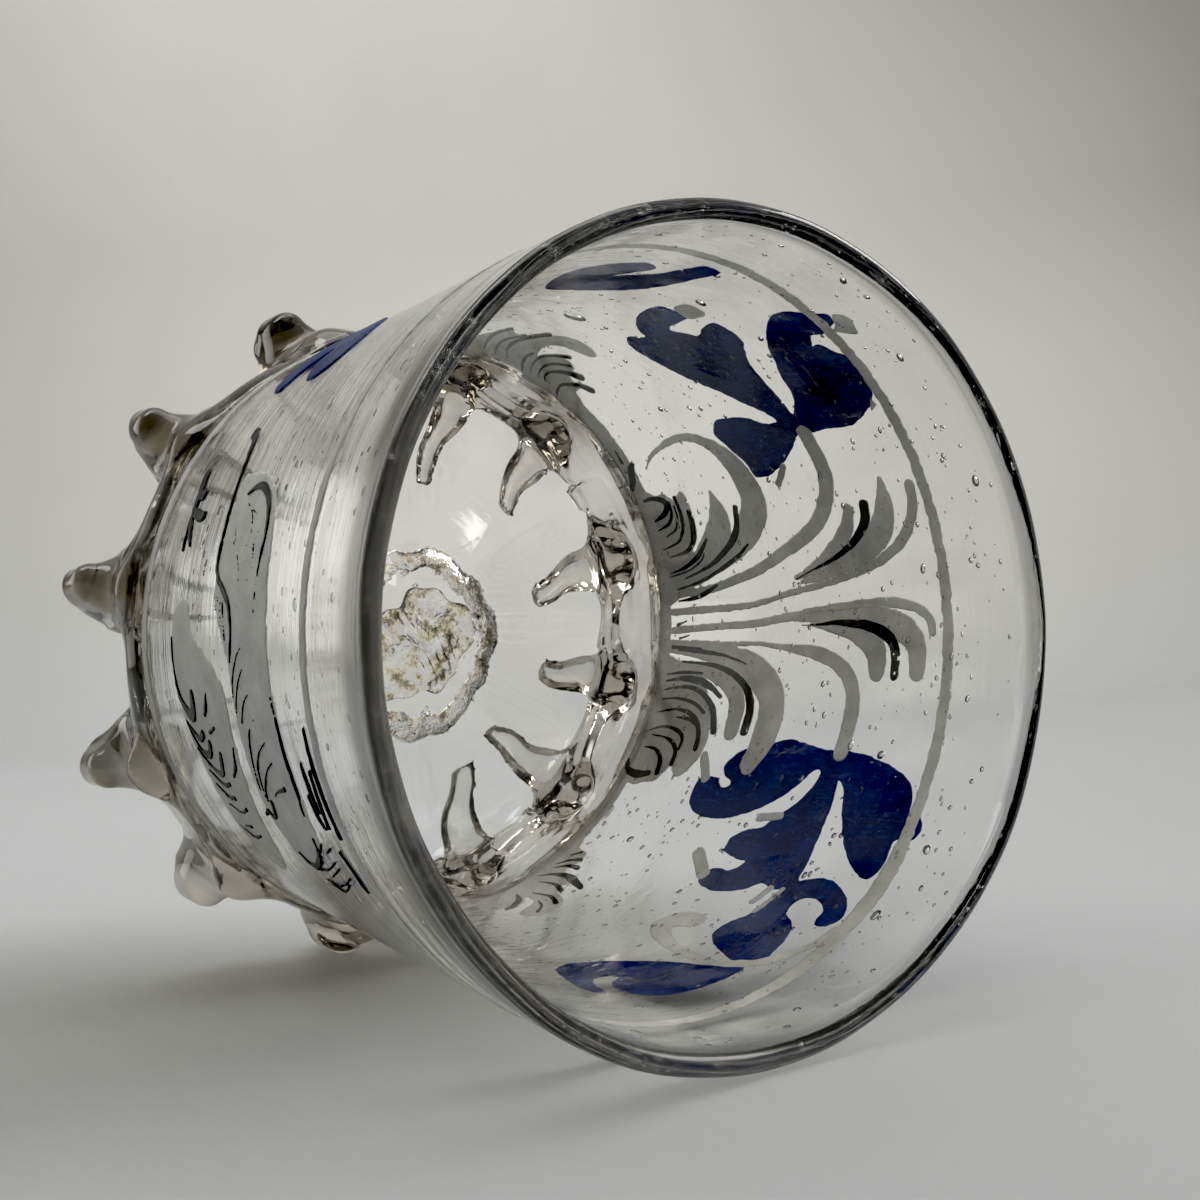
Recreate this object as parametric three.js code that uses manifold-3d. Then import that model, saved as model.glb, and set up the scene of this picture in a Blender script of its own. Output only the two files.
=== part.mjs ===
// Footed glass goblet, blown clear glass, painted with enamel in white, blue and black.
// A low wide bowl with a fire-polished rim stands on an applied trail that is pincered into twelve toes.
// Millimetres, +Z up: z = 0 is the plane that the toes stand on, and the bowl's axis is the Z axis.
// Angles are degrees round the axis from +X towards +Y.
import * as THREE from "three";
import { mergeVertices } from "three/addons/utils/BufferGeometryUtils.js";
import Module from "manifold-3d";

const wasm = await Module();
wasm.setup();

// Driving dimensions of the bowl
const rimRadius = 45;
const rimHeight = 96;
const beadRadius = 1.5;
const wall = 1.95;
const floorThickness = 3.5;
const footTaper = 2.35;
const footHeight = 20;
const restRadius = 33;
const restHeight = 10.5;
const kickRise = 7.5;

// Driving dimensions of the painted band, which lies between the middles of its two lines
const upperLineHeight = 81.3;
const upperLineWidth = 1.9;
const lowerLineHeight = 23.9;
const lowerLineWidth = 2.7;
const lineWander = 0.25;
const enamelClearance = 0.08;
const enamelThickness = 0.2;

// Driving dimensions of the trail and its toes
const trailClearance = 0.2;
const trailThickness = 1.6;
const trailTop = 20.4;
const toeProjection = 7.85;
const toeLipHeight = 22.4;
const toeRootWidth = 19;
const toeTipWidth = 9.2;
const toeFlatWidth = 2.4;

// Driving dimensions of the scar that the pontil rod left under the bowl
const scarRadius = 13.4;
const scarWidth = 4.6;
const scarThickness = 0.9;
const scarClearance = 0.12;
const scarOffsetX = -0.4;
const scarOffsetY = -3;

const facets = 48;
const degree = Math.PI / 180;

// Materials
const matte = (name, color, roughness) => new THREE.MeshStandardMaterial({ name, color, roughness, metalness: 0 });
const clearGlass = matte("clear_glass", 0xc9c8c0, 0.05);
clearGlass.transparent = true;
clearGlass.opacity = 0.45;
const smokyGlass = matte("smoky_glass", 0x8d8880, 0.08);
smokyGlass.transparent = true;
smokyGlass.opacity = 0.7;
const roughGlass = matte("rough_glass", 0xb9b7ae, 0.6);
const whiteEnamel = matte("white_enamel", 0xd9d9d2, 0.45);
const blueEnamel = matte("blue_enamel", 0x1c2f6b, 0.4);
const blackEnamel = matte("black_enamel", 0x17171b, 0.4);

// Profile of the bowl

const footRadius = rimRadius - footTaper;
const wallLean = footTaper / (rimHeight - footHeight);
const wallRadius = (z) => footRadius + (z - footHeight) * wallLean;

// The heel is a quarter ellipse from the wall's foot down to the ring that the kick rises from.
function heelPoint(turn, inset, lift) {
  const reach = footRadius - inset - restRadius;
  const drop = footHeight - restHeight - lift;
  return new THREE.Vector2(
    restRadius + reach * Math.cos(turn),
    footHeight - drop * Math.sin(turn),
  );
}

// The kick is a shallow dome pushed up into the floor.
function kickPoint(share, lift) {
  const rise = kickRise * (1 + Math.cos(Math.PI * share)) / 2;
  return new THREE.Vector2(restRadius * share, restHeight + lift + rise);
}

const heelSteps = 5;
const kickSteps = 4;
const beadSteps = 6;
const heelTurns = Array.from({ length: heelSteps }, (_, i) => (i * Math.PI) / 2 / heelSteps);
const kickShares = Array.from({ length: kickSteps + 1 }, (_, i) => i / kickSteps);

const outerKick = kickShares.map((share) => kickPoint(share, 0));
const outerHeel = heelTurns.map((turn) => heelPoint(turn, 0, 0)).reverse();
const innerHeel = heelTurns.map((turn) => heelPoint(turn, wall, floorThickness));
const innerKick = kickShares.map((share) => kickPoint(share, floorThickness)).reverse();
const beadCentre = new THREE.Vector2(rimRadius - beadRadius, rimHeight - beadRadius);
const beadTuck = 35 * degree;
const beadStart = -beadTuck;
const beadEnd = Math.PI + beadTuck;
const bead = Array.from({ length: beadSteps + 1 }, (_, i) => {
  const turn = beadStart + ((beadEnd - beadStart) * i) / beadSteps;
  return new THREE.Vector2(Math.cos(turn), Math.sin(turn)).multiplyScalar(beadRadius).add(beadCentre);
});
const neckHeight = rimHeight - 3 * beadRadius;
const innerNeck = new THREE.Vector2(wallRadius(neckHeight) - wall, neckHeight);

// Height of the bowl's underside at a radius, on the straight runs between the kick's points
function undersideHeight(radius) {
  const place = Math.min((radius / restRadius) * kickSteps, kickSteps - 1e-9);
  const step = Math.floor(place);
  return THREE.MathUtils.lerp(outerKick[step].y, outerKick[step + 1].y, place - step);
}

// Geometry helpers

// LatheGeometry turns about Y, so its result is laid over to stand on Z.
function lathe(points) {
  return new THREE.LatheGeometry(points, facets).rotateX(Math.PI / 2);
}

function welded(geometry) {
  geometry.deleteAttribute("normal");
  geometry.deleteAttribute("uv");
  return mergeVertices(geometry, 1e-5);
}

function toSolid(geometry) {
  const shared = welded(geometry);
  return new wasm.Manifold(new wasm.Mesh({
    numProp: 3,
    vertProperties: new Float32Array(shared.attributes.position.array),
    triVerts: new Uint32Array(shared.index.array),
  }));
}

function toGeometry(solid) {
  const mesh = solid.getMesh();
  const geometry = new THREE.BufferGeometry();
  geometry.setAttribute("position", new THREE.BufferAttribute(new Float32Array(mesh.vertProperties), 3));
  geometry.setIndex(Array.from(mesh.triVerts));
  return geometry;
}

const joined = (solids) => solids.reduce((whole, solid) => whole.add(solid));

// Closed skin over a grid of points: rows of equal length, each row a closed loop.
// With capped set, the first and last rows are filled in. Otherwise the last row joins the first.
function loopSkin(rows, capped) {
  const count = rows[0].length;
  const index = [];
  const last = capped ? rows.length - 1 : rows.length;
  for (let i = 0; i < last; i += 1) {
    const next = (i + 1) % rows.length;
    for (let j = 0; j < count; j += 1) {
      const k = (j + 1) % count;
      index.push(i * count + j, next * count + j, next * count + k);
      index.push(i * count + j, next * count + k, i * count + k);
    }
  }
  for (let j = 1; capped && j < count - 1; j += 1) {
    const end = last * count;
    index.push(0, j, j + 1, end, end + j + 1, end + j);
  }
  const geometry = new THREE.BufferGeometry();
  const numbers = rows.flat().flatMap((point) => [point.x, point.y, point.z]);
  geometry.setAttribute("position", new THREE.Float32BufferAttribute(numbers, 3));
  geometry.setIndex(index);
  return geometry;
}

function onWall(angle, radius, z) {
  return new THREE.Vector3(radius * Math.cos(angle), radius * Math.sin(angle), z);
}

// Trail and toes

// Angle of each toe, then its own projection, width and lip as shares of the driving sizes
const toeShares = [
  [15, 1.0, 1.05, 0.35],
  [50, 0.94, 0.95, 0.3],
  [75, 1.0, 0.9, 0.5],
  [112, 1.03, 1.05, 0.6],
  [143, 0.94, 1.0, 0.9],
  [173, 0.84, 1.0, 1.0],
  [205, 1.0, 1.05, 1.0],
  [232, 0.94, 0.95, 1.0],
  [260, 0.88, 1.0, 0.95],
  [287, 0.97, 0.95, 0.6],
  [318, 1.0, 1.1, 0.5],
  [346, 0.94, 0.95, 0.4],
];
const stepsBetweenToes = 10;
const crowding = 0.62;

// Outer side of a toe from its upper lip down to its root under the bowl: outward share of the
// projection, height share of the lip, and the width there as a share from tip to root
const toeOutlineShares = [
  [0.13, 1.0, 0.85],
  [0.36, 0.97, 0.3],
  [0.52, 0.85, 0.1],
  [0.46, 0.66, 0.55],
  [0.8, 0.585, 0.35],
  [0.97, 0.45, 0.12],
  [1.0, 0.24, 0.0],
  [0.88, 0.07, 0.0],
  [0.68, 0.0, 0.02],
  [0.36, 0.0, 0.08],
  [0.08, 0.1, 0.35],
  [-0.18, 0.26, 0.8],
];

// Outer side of the plain band between the toes: share of the way down the heel, and share of its thickness
const bandOutlineShares = [
  [0.0, 0.35],
  [0.06, 0.7],
  [0.13, 0.92],
  [0.22, 1.0],
  [0.32, 1.05],
  [0.42, 1.05],
  [0.5, 1.02],
  [0.58, 1.0],
  [0.67, 0.95],
  [0.76, 0.85],
  [0.86, 0.7],
  [0.95, 0.45],
];
const seatShares = [1.0, 0.72, 0.45, 0.2, 0.0];
const heelCover = 62 * degree;

// Point on the bowl's outside, a share of the way from the trail's top down round the heel, and lifted off it
function besideHeel(share, lift) {
  const straight = 0.12;
  if (share < straight) {
    const z = THREE.MathUtils.lerp(trailTop, footHeight, share / straight);
    return new THREE.Vector2(wallRadius(z) + lift, z);
  }
  const turn = (heelCover * (share - straight)) / (1 - straight);
  const point = heelPoint(turn, 0, 0);
  const along = new THREE.Vector2(
    Math.cos(turn) * (footHeight - restHeight),
    -Math.sin(turn) * (footRadius - restRadius),
  );
  const normal = along.normalize();
  return new THREE.Vector2(point.x + normal.x * lift, point.y + normal.y * lift);
}

// Flat-topped rise: 1 over the worn flat at the toe's middle, 0 from its half width on
const toeRoundness = 1.7;
function toeRise(distance, halfWidth) {
  const beyond = Math.max(Math.abs(distance) - toeFlatWidth / 2, 0);
  const share = Math.min(beyond / (halfWidth - toeFlatWidth / 2), 1);
  return Math.cos((Math.PI / 2) * share ** toeRoundness) ** 2;
}

function trailSection(angle, offset, toe) {
  const [, reachShare, widthShare, lipShare] = toe;
  const seat = seatShares.map((share) => besideHeel(share, trailClearance));
  const outer = toeOutlineShares.map(([outShare, highShare, spreadShare], j) => {
    const [bandShare, thickShare] = bandOutlineShares[j];
    const band = besideHeel(bandShare, trailClearance + trailThickness * thickShare);
    const fullReach = toeProjection * reachShare * outShare;
    const lip = j < 4 ? THREE.MathUtils.lerp(0.72, 1, lipShare) : 1;
    const high = toeLipHeight * highShare * (j < 4 ? THREE.MathUtils.lerp(0.93, 1, lipShare) : 1);
    const tip = new THREE.Vector2(footRadius + fullReach * lip, high);
    const width = THREE.MathUtils.lerp(toeTipWidth, toeRootWidth, spreadShare) * widthShare;
    const rise = toeRise(offset * tip.x, width / 2);
    return band.lerp(tip, rise);
  });
  return [...seat, ...outer].reverse().map((point) => onWall(angle, point.x, point.y));
}

function makeTrail() {
  const rows = toeShares.flatMap((toe, i) => {
    const next = toeShares[(i + 1) % toeShares.length];
    const span = ((next[0] - toe[0] + 360) % 360) * degree;
    return Array.from({ length: stepsBetweenToes }, (_, step) => {
      const share = step / stepsBetweenToes;
      const offset = span * (share - (crowding * Math.sin(2 * Math.PI * share)) / (2 * Math.PI));
      const near = share < 0.5 ? toe : next;
      const fromNear = share < 0.5 ? offset : offset - span;
      return trailSection(toe[0] * degree + offset, fromNear, near);
    });
  });
  return loopSkin(rows, false);
}

// Pontil scar

// Section of the scar: share across its width from outside in, and share of its thickness down
const scarSectionShares = [
  [0.0, 0.0],
  [0.5, 0.0],
  [1.0, 0.0],
  [0.85, 0.7],
  [0.5, 1.0],
  [0.12, 0.75],
];
const scarSteps = 48;
const scarJag = 0.07;

function makeScar() {
  const rows = Array.from({ length: scarSteps }, (_, i) => {
    const angle = (i * 2 * Math.PI) / scarSteps;
    const jag = 1 + scarJag * (Math.sin(5 * angle + 1) + 0.7 * Math.sin(11 * angle) + 0.5 * Math.sin(17 * angle + 2)) / 2;
    const thick = scarThickness * (0.8 + 0.2 * Math.sin(7 * angle + 0.5));
    return scarSectionShares.map(([acrossShare, downShare]) => {
      const radius = scarRadius * jag - scarWidth * acrossShare;
      const x = scarOffsetX + radius * Math.cos(angle);
      const y = scarOffsetY + radius * Math.sin(angle);
      return new THREE.Vector3(x, y, undersideHeight(Math.hypot(x, y)) - scarClearance - thick * downShare);
    });
  });
  return loopSkin(rows, false);
}

// Enamel

const bandHeight = upperLineHeight - lowerLineHeight;
const bandRadius = wallRadius((upperLineHeight + lowerLineHeight) / 2);
const layerStep = enamelThickness + 0.75 * enamelClearance;
const ringLift = enamelClearance;

// A painted line: a flat ribbon laid round the wall, its edges wandering as a brush does
function makeLine(height, width, phase) {
  const rows = Array.from({ length: facets }, (_, i) => {
    const angle = (i * 2 * Math.PI) / facets;
    const low = height - width / 2 + lineWander * Math.sin(3 * angle + phase) * Math.cos(5 * angle);
    const high = height + width / 2 + lineWander * Math.sin(4 * angle - phase);
    const inner = (z) => wallRadius(z) + ringLift;
    return [
      onWall(angle, inner(low), low),
      onWall(angle, inner(low) + enamelThickness, low),
      onWall(angle, inner(high) + enamelThickness, high),
      onWall(angle, inner(high), high),
    ];
  });
  return loopSkin(rows, false);
}

// A thin shell round the whole band, parallel to the wall's facets. Every motif is cut out of one.
function paintLayer(number) {
  const low = lowerLineHeight + lowerLineWidth / 2 + 2 * lineWander;
  const high = upperLineHeight - upperLineWidth / 2 - 2 * lineWander;
  const inside = enamelClearance + number * layerStep;
  const corner = (z, lift) => new THREE.Vector2(wallRadius(z) + lift, z);
  const outside = inside + enamelThickness;
  const outline = [corner(low, inside), corner(low, outside), corner(high, outside), corner(high, inside)];
  return toSolid(lathe([...outline, outline[0]]));
}

// Flat drawing of the band: across in millimetres along the wall, up in millimetres from the lower line
const flat = ([angle, share]) => new THREE.Vector2(angle * degree * bandRadius, share * bandHeight);

// Cutters run from inside the bowl to well outside it, so that their ends never touch the shell.
const cutterShares = [0.5, 2];
function rolled(point, isOuter) {
  return onWall(point.x / bandRadius, bandRadius * cutterShares[isOuter ? 1 : 0], lowerLineHeight + point.y);
}

// Cutter for a closed outline
function patch(outlineShares) {
  const shape = new THREE.Shape(outlineShares.map(flat));
  const geometry = welded(new THREE.ExtrudeGeometry(shape, { depth: 1, bevelEnabled: false }));
  const position = geometry.attributes.position;
  for (let i = 0; i < position.count; i += 1) {
    const point = new THREE.Vector2(position.getX(i), position.getY(i));
    const moved = rolled(point, position.getZ(i) > 0.5);
    position.setXYZ(i, moved.x, moved.y, moved.z);
  }
  return toSolid(geometry);
}

// Cutter for a brush stroke along a smooth line, with its widths spread evenly along it and round ends
const brushEndShares = [[0.5, 0.25], [0.35, 0.72]];
function stroke(lineShares, widthShares) {
  const curve = new THREE.SplineCurve(lineShares.map(flat));
  const count = lineShares.length - 1;
  const widthAt = (share) => {
    const place = share * (widthShares.length - 1);
    const step = Math.min(Math.floor(place), widthShares.length - 2);
    return bandHeight * THREE.MathUtils.lerp(widthShares[step], widthShares[step + 1], place - step);
  };
  const stations = Array.from({ length: count + 1 }, (_, i) => {
    const along = curve.getTangent(i / count);
    return { middle: curve.getPoint(i / count), along, width: widthAt(i / count) };
  });
  const ended = ([backShare, narrowShare], station, sign) => ({
    middle: station.middle.clone().addScaledVector(station.along, sign * backShare * station.width),
    along: station.along,
    width: station.width * narrowShare,
  });
  const first = brushEndShares.map((shares) => ended(shares, stations[0], -1));
  const last = brushEndShares.map((shares) => ended(shares, stations[count], 1)).reverse();
  const rows = [...first, ...stations, ...last].map(({ middle, along, width }) => {
    const side = new THREE.Vector2(-along.y, along.x).multiplyScalar(width / 2);
    const left = middle.clone().add(side);
    const right = middle.clone().sub(side);
    return [rolled(left, false), rolled(right, false), rolled(right, true), rolled(left, true)];
  });
  return toSolid(loopSkin(rows, true));
}

// Ornament of the back of the bowl, as [degrees round the wall, share of the band's height]

const leftStem = stroke(
  [[-5.2, 0.06], [-4.4, 0.2], [-3.9, 0.37], [-4.4, 0.46], [-5.2, 0.57], [-6.7, 0.65], [-9.3, 0.7],
    [-12, 0.722], [-15.5, 0.73], [-20, 0.73], [-23.2, 0.728]],
  [0.02, 0.016, 0.012, 0.014, 0.02, 0.03, 0.036, 0.044],
);
const leftScroll = stroke(
  [[-5.3, 0.06], [-6.3, 0.2], [-7.6, 0.3], [-9.6, 0.38], [-12.3, 0.43], [-15.5, 0.455], [-19.5, 0.46],
    [-24, 0.452], [-28, 0.435]],
  [0.02, 0.03, 0.045, 0.065, 0.085, 0.09, 0.092, 0.09, 0.06],
);
const leftLeaf = stroke(
  [[-8.7, 0.05], [-9.4, 0.15], [-10.8, 0.235], [-13, 0.295], [-16, 0.325], [-19.5, 0.33], [-21.8, 0.33]],
  [0.02, 0.03, 0.04, 0.05, 0.055, 0.06, 0.055],
);
const leftFan = patch(
  [[-34.5, 0.03], [-35.4, 0.09], [-34.8, 0.112], [-33, 0.13], [-30.6, 0.147], [-31.9, 0.157], [-33, 0.175],
    [-33.1, 0.197], [-31.6, 0.218], [-29.5, 0.236], [-26.5, 0.248], [-23, 0.249], [-19.5, 0.235],
    [-16.8, 0.217], [-14, 0.2], [-11.5, 0.178], [-10.2, 0.15], [-9.4, 0.1], [-8.8, 0.03]],
);
const innerStem = stroke(
  [[-1.5, 0.06], [-0.6, 0.2], [0, 0.35], [1, 0.45], [1.4, 0.5], [1.7, 0.6], [1.7, 0.7], [1.2, 0.79],
    [-0.3, 0.86], [-2.6, 0.9], [-5.5, 0.912], [-8, 0.912]],
  [0.021, 0.021, 0.021, 0.02, 0.022, 0.03, 0.042, 0.06, 0.066, 0.045],
);
const innerLobe = stroke(
  [[-0.5, 0.57], [-1, 0.64], [-2, 0.7], [-3.6, 0.755], [-5.6, 0.78], [-8.2, 0.785]],
  [0.01, 0.025, 0.04, 0.055, 0.064, 0.05],
);
const innerHook = stroke(
  [[3.3, 0.55], [4.2, 0.65], [4.7, 0.75], [4.7, 0.83], [4.1, 0.88], [2.9, 0.92], [1.4, 0.938]],
  [0.01, 0.018, 0.022, 0.024, 0.022],
);
const outerStem = stroke(
  [[2.5, 0.06], [3.5, 0.3], [4.4, 0.4], [6, 0.5], [7.1, 0.6], [8, 0.67], [9.1, 0.745], [10.9, 0.82],
    [13.4, 0.885], [16.6, 0.93], [20, 0.95]],
  [0.022, 0.022, 0.02, 0.014, 0.016, 0.018, 0.022, 0.024],
);
const outerLobe = stroke(
  [[9.3, 0.59], [10.7, 0.67], [12.4, 0.735], [14.8, 0.795], [17.8, 0.84], [21, 0.863], [24, 0.874]],
  [0.01, 0.02, 0.03, 0.042, 0.054, 0.06, 0.045],
);
const outerLeaf = stroke(
  [[9.4, 0.54], [11.8, 0.61], [14.6, 0.665], [17.7, 0.71], [21, 0.738]],
  [0.01, 0.022, 0.034, 0.036, 0.026],
);
const rightStem = stroke(
  [[6.4, 0.07], [7.4, 0.2], [9, 0.3], [11, 0.4], [14, 0.5], [17.4, 0.6], [20.5, 0.66], [25, 0.705],
    [30, 0.724], [36.3, 0.722]],
  [0.022, 0.023, 0.024, 0.027, 0.03, 0.034, 0.042, 0.046, 0.048, 0.045],
);
const rightScroll = stroke(
  [[7, 0.05], [9.5, 0.15], [13, 0.26], [16.5, 0.345], [20.5, 0.41], [25, 0.445], [31, 0.44], [36, 0.412],
    [39.3, 0.37], [41, 0.32], [40.9, 0.26], [39.6, 0.19], [37.7, 0.13], [35.5, 0.092]],
  [0.02, 0.03, 0.035, 0.045, 0.062, 0.08, 0.09, 0.085, 0.066, 0.04, 0.026, 0.02, 0.014, 0.008],
);
const rightLeaf = stroke(
  [[8.5, 0.05], [12, 0.15], [15.5, 0.225], [19.5, 0.28], [23.5, 0.3], [26, 0.3], [28, 0.298]],
  [0.02, 0.04, 0.06, 0.085, 0.095, 0.07, 0.01],
);
const rightFan = patch(
  [[5, 0.03], [8, 0.12], [11, 0.2], [12.5, 0.2], [15.3, 0.155], [18, 0.168], [21, 0.188], [25, 0.196],
    [29, 0.19], [28.6, 0.168], [27.5, 0.148], [28.3, 0.12], [29.5, 0.108], [28.8, 0.08], [29, 0.03]],
);

// Ornament of the two sides of the bowl

const rightSideFan = patch(
  [[55, 0.03], [58.5, 0.07], [59.5, 0.105], [62.5, 0.115], [64.5, 0.15], [65.5, 0.18], [68.5, 0.2],
    [70.5, 0.195], [72.3, 0.135], [74, 0.175], [74.7, 0.21], [74, 0.243], [72.5, 0.258], [70, 0.266],
    [67.2, 0.28], [66.6, 0.3], [68.5, 0.322], [72, 0.334], [75, 0.327], [77.5, 0.3], [79.6, 0.24],
    [83, 0.24], [85, 0.265], [87, 0.2], [89, 0.1], [90, 0.03]],
);
const leftSideFan = patch(
  [[-53, 0.03], [-55.4, 0.058], [-56.4, 0.079], [-58.7, 0.079], [-60.3, 0.067], [-62, 0.075], [-62.4, 0.117],
    [-63.1, 0.142], [-64.8, 0.142], [-66.4, 0.129], [-68.4, 0.15], [-69.2, 0.188], [-70.6, 0.217],
    [-73.1, 0.23], [-75.9, 0.225], [-78.1, 0.208], [-78.7, 0.175], [-77, 0.154], [-74.2, 0.142],
    [-72.8, 0.117], [-72.8, 0.083], [-73.7, 0.1], [-75.3, 0.117], [-77.6, 0.108], [-79.2, 0.083], [-80, 0.03]],
);
const leftCurl = stroke(
  [[-57, 0.975], [-60, 0.968], [-63.1, 0.95], [-67.6, 0.908], [-70, 0.858], [-71.4, 0.808], [-71.7, 0.742],
    [-71.2, 0.667], [-69.8, 0.608], [-67.6, 0.567], [-65.9, 0.567], [-63.7, 0.6], [-63.7, 0.64]],
  [0.015, 0.02, 0.025, 0.028, 0.028, 0.028, 0.03, 0.032, 0.04, 0.055, 0.065, 0.06],
);
const rightFlower = patch(
  [[36.9, 0.7], [37, 0.76], [36.9, 0.858], [37.1, 0.885], [38.3, 0.92], [40.5, 0.965], [42.7, 0.984],
    [50.4, 0.987], [51.8, 0.967], [54.3, 0.942], [56, 0.938], [56.8, 1.0], [58.2, 1.03], [60.2, 1.02],
    [62.1, 0.975], [63.3, 0.942], [63.3, 0.912], [60.4, 0.85], [57.7, 0.817], [53.8, 0.792], [49.9, 0.771],
    [45.4, 0.762], [43.2, 0.746], [41.3, 0.722], [44.3, 0.717], [49.9, 0.71], [53.8, 0.714], [57.1, 0.737],
    [59.1, 0.758], [61.6, 0.761], [64.3, 0.754], [65.8, 0.742], [65.4, 0.704], [63.9, 0.662], [65.4, 0.637],
    [67.1, 0.612], [68.1, 0.625], [68.5, 0.658], [69.3, 0.704], [72.1, 0.7], [74.1, 0.693], [75, 0.667],
    [74.8, 0.633], [73.8, 0.592], [72.1, 0.558], [69.9, 0.533], [67.7, 0.521], [69.2, 0.479], [66, 0.442],
    [63.2, 0.443], [59.3, 0.458], [55.4, 0.483], [51.6, 0.525], [48.2, 0.567], [45.4, 0.6], [42.7, 0.642],
    [40.7, 0.658], [40.3, 0.646], [40.9, 0.608], [42.4, 0.575], [43.3, 0.533], [43.5, 0.483], [42.9, 0.454],
    [40.7, 0.429], [39.1, 0.433], [36, 0.454], [32.7, 0.479], [30, 0.488], [29.6, 0.504], [30, 0.55],
    [31.6, 0.6], [33.8, 0.646], [36, 0.683]],
);
const leftFlower = patch(
  [[-23.2, 0.7], [-23, 0.75], [-23.9, 0.85], [-26.6, 0.948], [-28.7, 0.972], [-32, 0.988], [-33.7, 1.032],
    [-35.6, 1.036], [-37, 1.0], [-38.9, 0.98], [-43.7, 0.984], [-45.6, 0.968], [-44.5, 0.92], [-42.2, 0.88],
    [-39.5, 0.844], [-34.8, 0.802], [-30.2, 0.776], [-28.7, 0.752], [-32.9, 0.76], [-38.3, 0.768],
    [-46, 0.786], [-48.7, 0.792], [-47.6, 0.84], [-47.8, 0.9], [-49.5, 0.942], [-51.4, 0.967], [-53.7, 0.977],
    [-56.7, 0.946], [-55, 0.921], [-53.7, 0.921], [-51.6, 0.875], [-52.8, 0.835], [-55.9, 0.835],
    [-57.6, 0.873], [-59.2, 0.888], [-65.9, 0.88], [-69.2, 0.875], [-69.2, 0.825], [-67.7, 0.758],
    [-66.4, 0.729], [-63.1, 0.71], [-60.9, 0.72], [-58.7, 0.742], [-53.1, 0.767], [-51.7, 0.77],
    [-51.4, 0.708], [-53.7, 0.662], [-55.8, 0.583], [-54.8, 0.517], [-53.1, 0.51], [-50.6, 0.533],
    [-50, 0.588], [-47.8, 0.6], [-47.3, 0.533], [-44.2, 0.504], [-42.6, 0.517], [-40.3, 0.579],
    [-36.2, 0.625], [-30.3, 0.679], [-27.8, 0.685], [-27.8, 0.658], [-33.1, 0.6], [-38.1, 0.504],
    [-40.6, 0.4], [-40, 0.325], [-36.4, 0.279], [-33.7, 0.275], [-31.7, 0.325], [-33.7, 0.379],
    [-32.1, 0.396], [-31.2, 0.367], [-29.8, 0.353], [-26.4, 0.379], [-24.2, 0.458], [-22.2, 0.558],
    [-22.6, 0.608], [-23.2, 0.658]],
);
const leftBlueLeaf = patch(
  [[-71, 0.888], [-75, 0.888], [-80, 0.875], [-84, 0.86], [-87, 0.83], [-88.8, 0.78], [-87.8, 0.735],
    [-85, 0.71], [-86, 0.69], [-88.8, 0.69], [-90.7, 0.73], [-91.4, 0.78], [-92.6, 0.79], [-94.2, 0.725],
    [-92.8, 0.63], [-90.9, 0.588], [-88, 0.573], [-84, 0.59], [-80, 0.635], [-77, 0.685], [-74.5, 0.745],
    [-72.5, 0.81], [-71.5, 0.855]],
);
const rightBlueLeaf = patch(
  [[77.4, 0.94], [80.7, 0.954], [81.6, 0.933], [82.7, 0.89], [84, 0.842], [86, 0.808], [89.3, 0.77],
    [87.1, 0.825], [85.7, 0.862], [86.8, 0.885], [89, 0.892], [92.7, 0.867], [96, 0.833], [98.2, 0.783],
    [97.7, 0.7], [95.4, 0.633], [92.7, 0.625], [88.8, 0.642], [85.4, 0.67], [82.1, 0.717], [79.9, 0.775],
    [78.5, 0.85]],
);
const farBlueLeaf = patch(
  [[116, 0.35], [119, 0.47], [124, 0.56], [131, 0.62], [137, 0.6], [139, 0.52], [135, 0.46], [129, 0.43],
    [132, 0.37], [138, 0.33], [136, 0.26], [129, 0.24], [121, 0.27]],
);

// A bird in the old folk manner, on the side towards the viewer

const birdBody = patch(
  [[157, 0.525], [157, 0.6], [158.5, 0.7], [162, 0.76], [168, 0.8], [175, 0.815], [190, 0.83], [206, 0.845],
    [210, 0.83], [214, 0.78], [216.5, 0.72], [216.5, 0.67], [212, 0.63], [206, 0.6], [192, 0.6], [186, 0.595],
    [182, 0.565], [176.5, 0.515], [170, 0.515], [162, 0.515]],
);
const birdWing = patch(
  [[176, 0.33], [178, 0.235], [190, 0.232], [197, 0.255], [205, 0.285], [214, 0.31], [220, 0.36], [221, 0.44],
    [217, 0.5], [208, 0.53], [198, 0.55], [190, 0.55], [186, 0.5], [183, 0.42], [180, 0.36]],
);

// Black strokes painted over the white

const leftVein = stroke(
  [[-8.2, 0.08], [-8.5, 0.19], [-9.4, 0.26], [-11, 0.315], [-13.5, 0.357], [-17, 0.378], [-21.6, 0.378]],
  [0.008, 0.014, 0.02, 0.028, 0.03],
);
const innerVein = stroke(
  [[-0.3, 0.51], [0, 0.6], [0.35, 0.66], [0.1, 0.73], [-0.7, 0.785], [-2.4, 0.828], [-5, 0.845], [-9, 0.845]],
  [0.006, 0.01, 0.018, 0.026, 0.034],
);
const outerVein = stroke(
  [[8.7, 0.53], [10.3, 0.59], [12, 0.66], [14, 0.72], [16.5, 0.768], [19, 0.798], [21.8, 0.808]],
  [0.006, 0.012, 0.02, 0.026, 0.03],
);
const rightVein = stroke(
  [[9.8, 0.1], [12, 0.2], [14.5, 0.27], [17.5, 0.325], [20.5, 0.355], [24, 0.369]],
  [0.008, 0.014, 0.02, 0.026],
);

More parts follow.
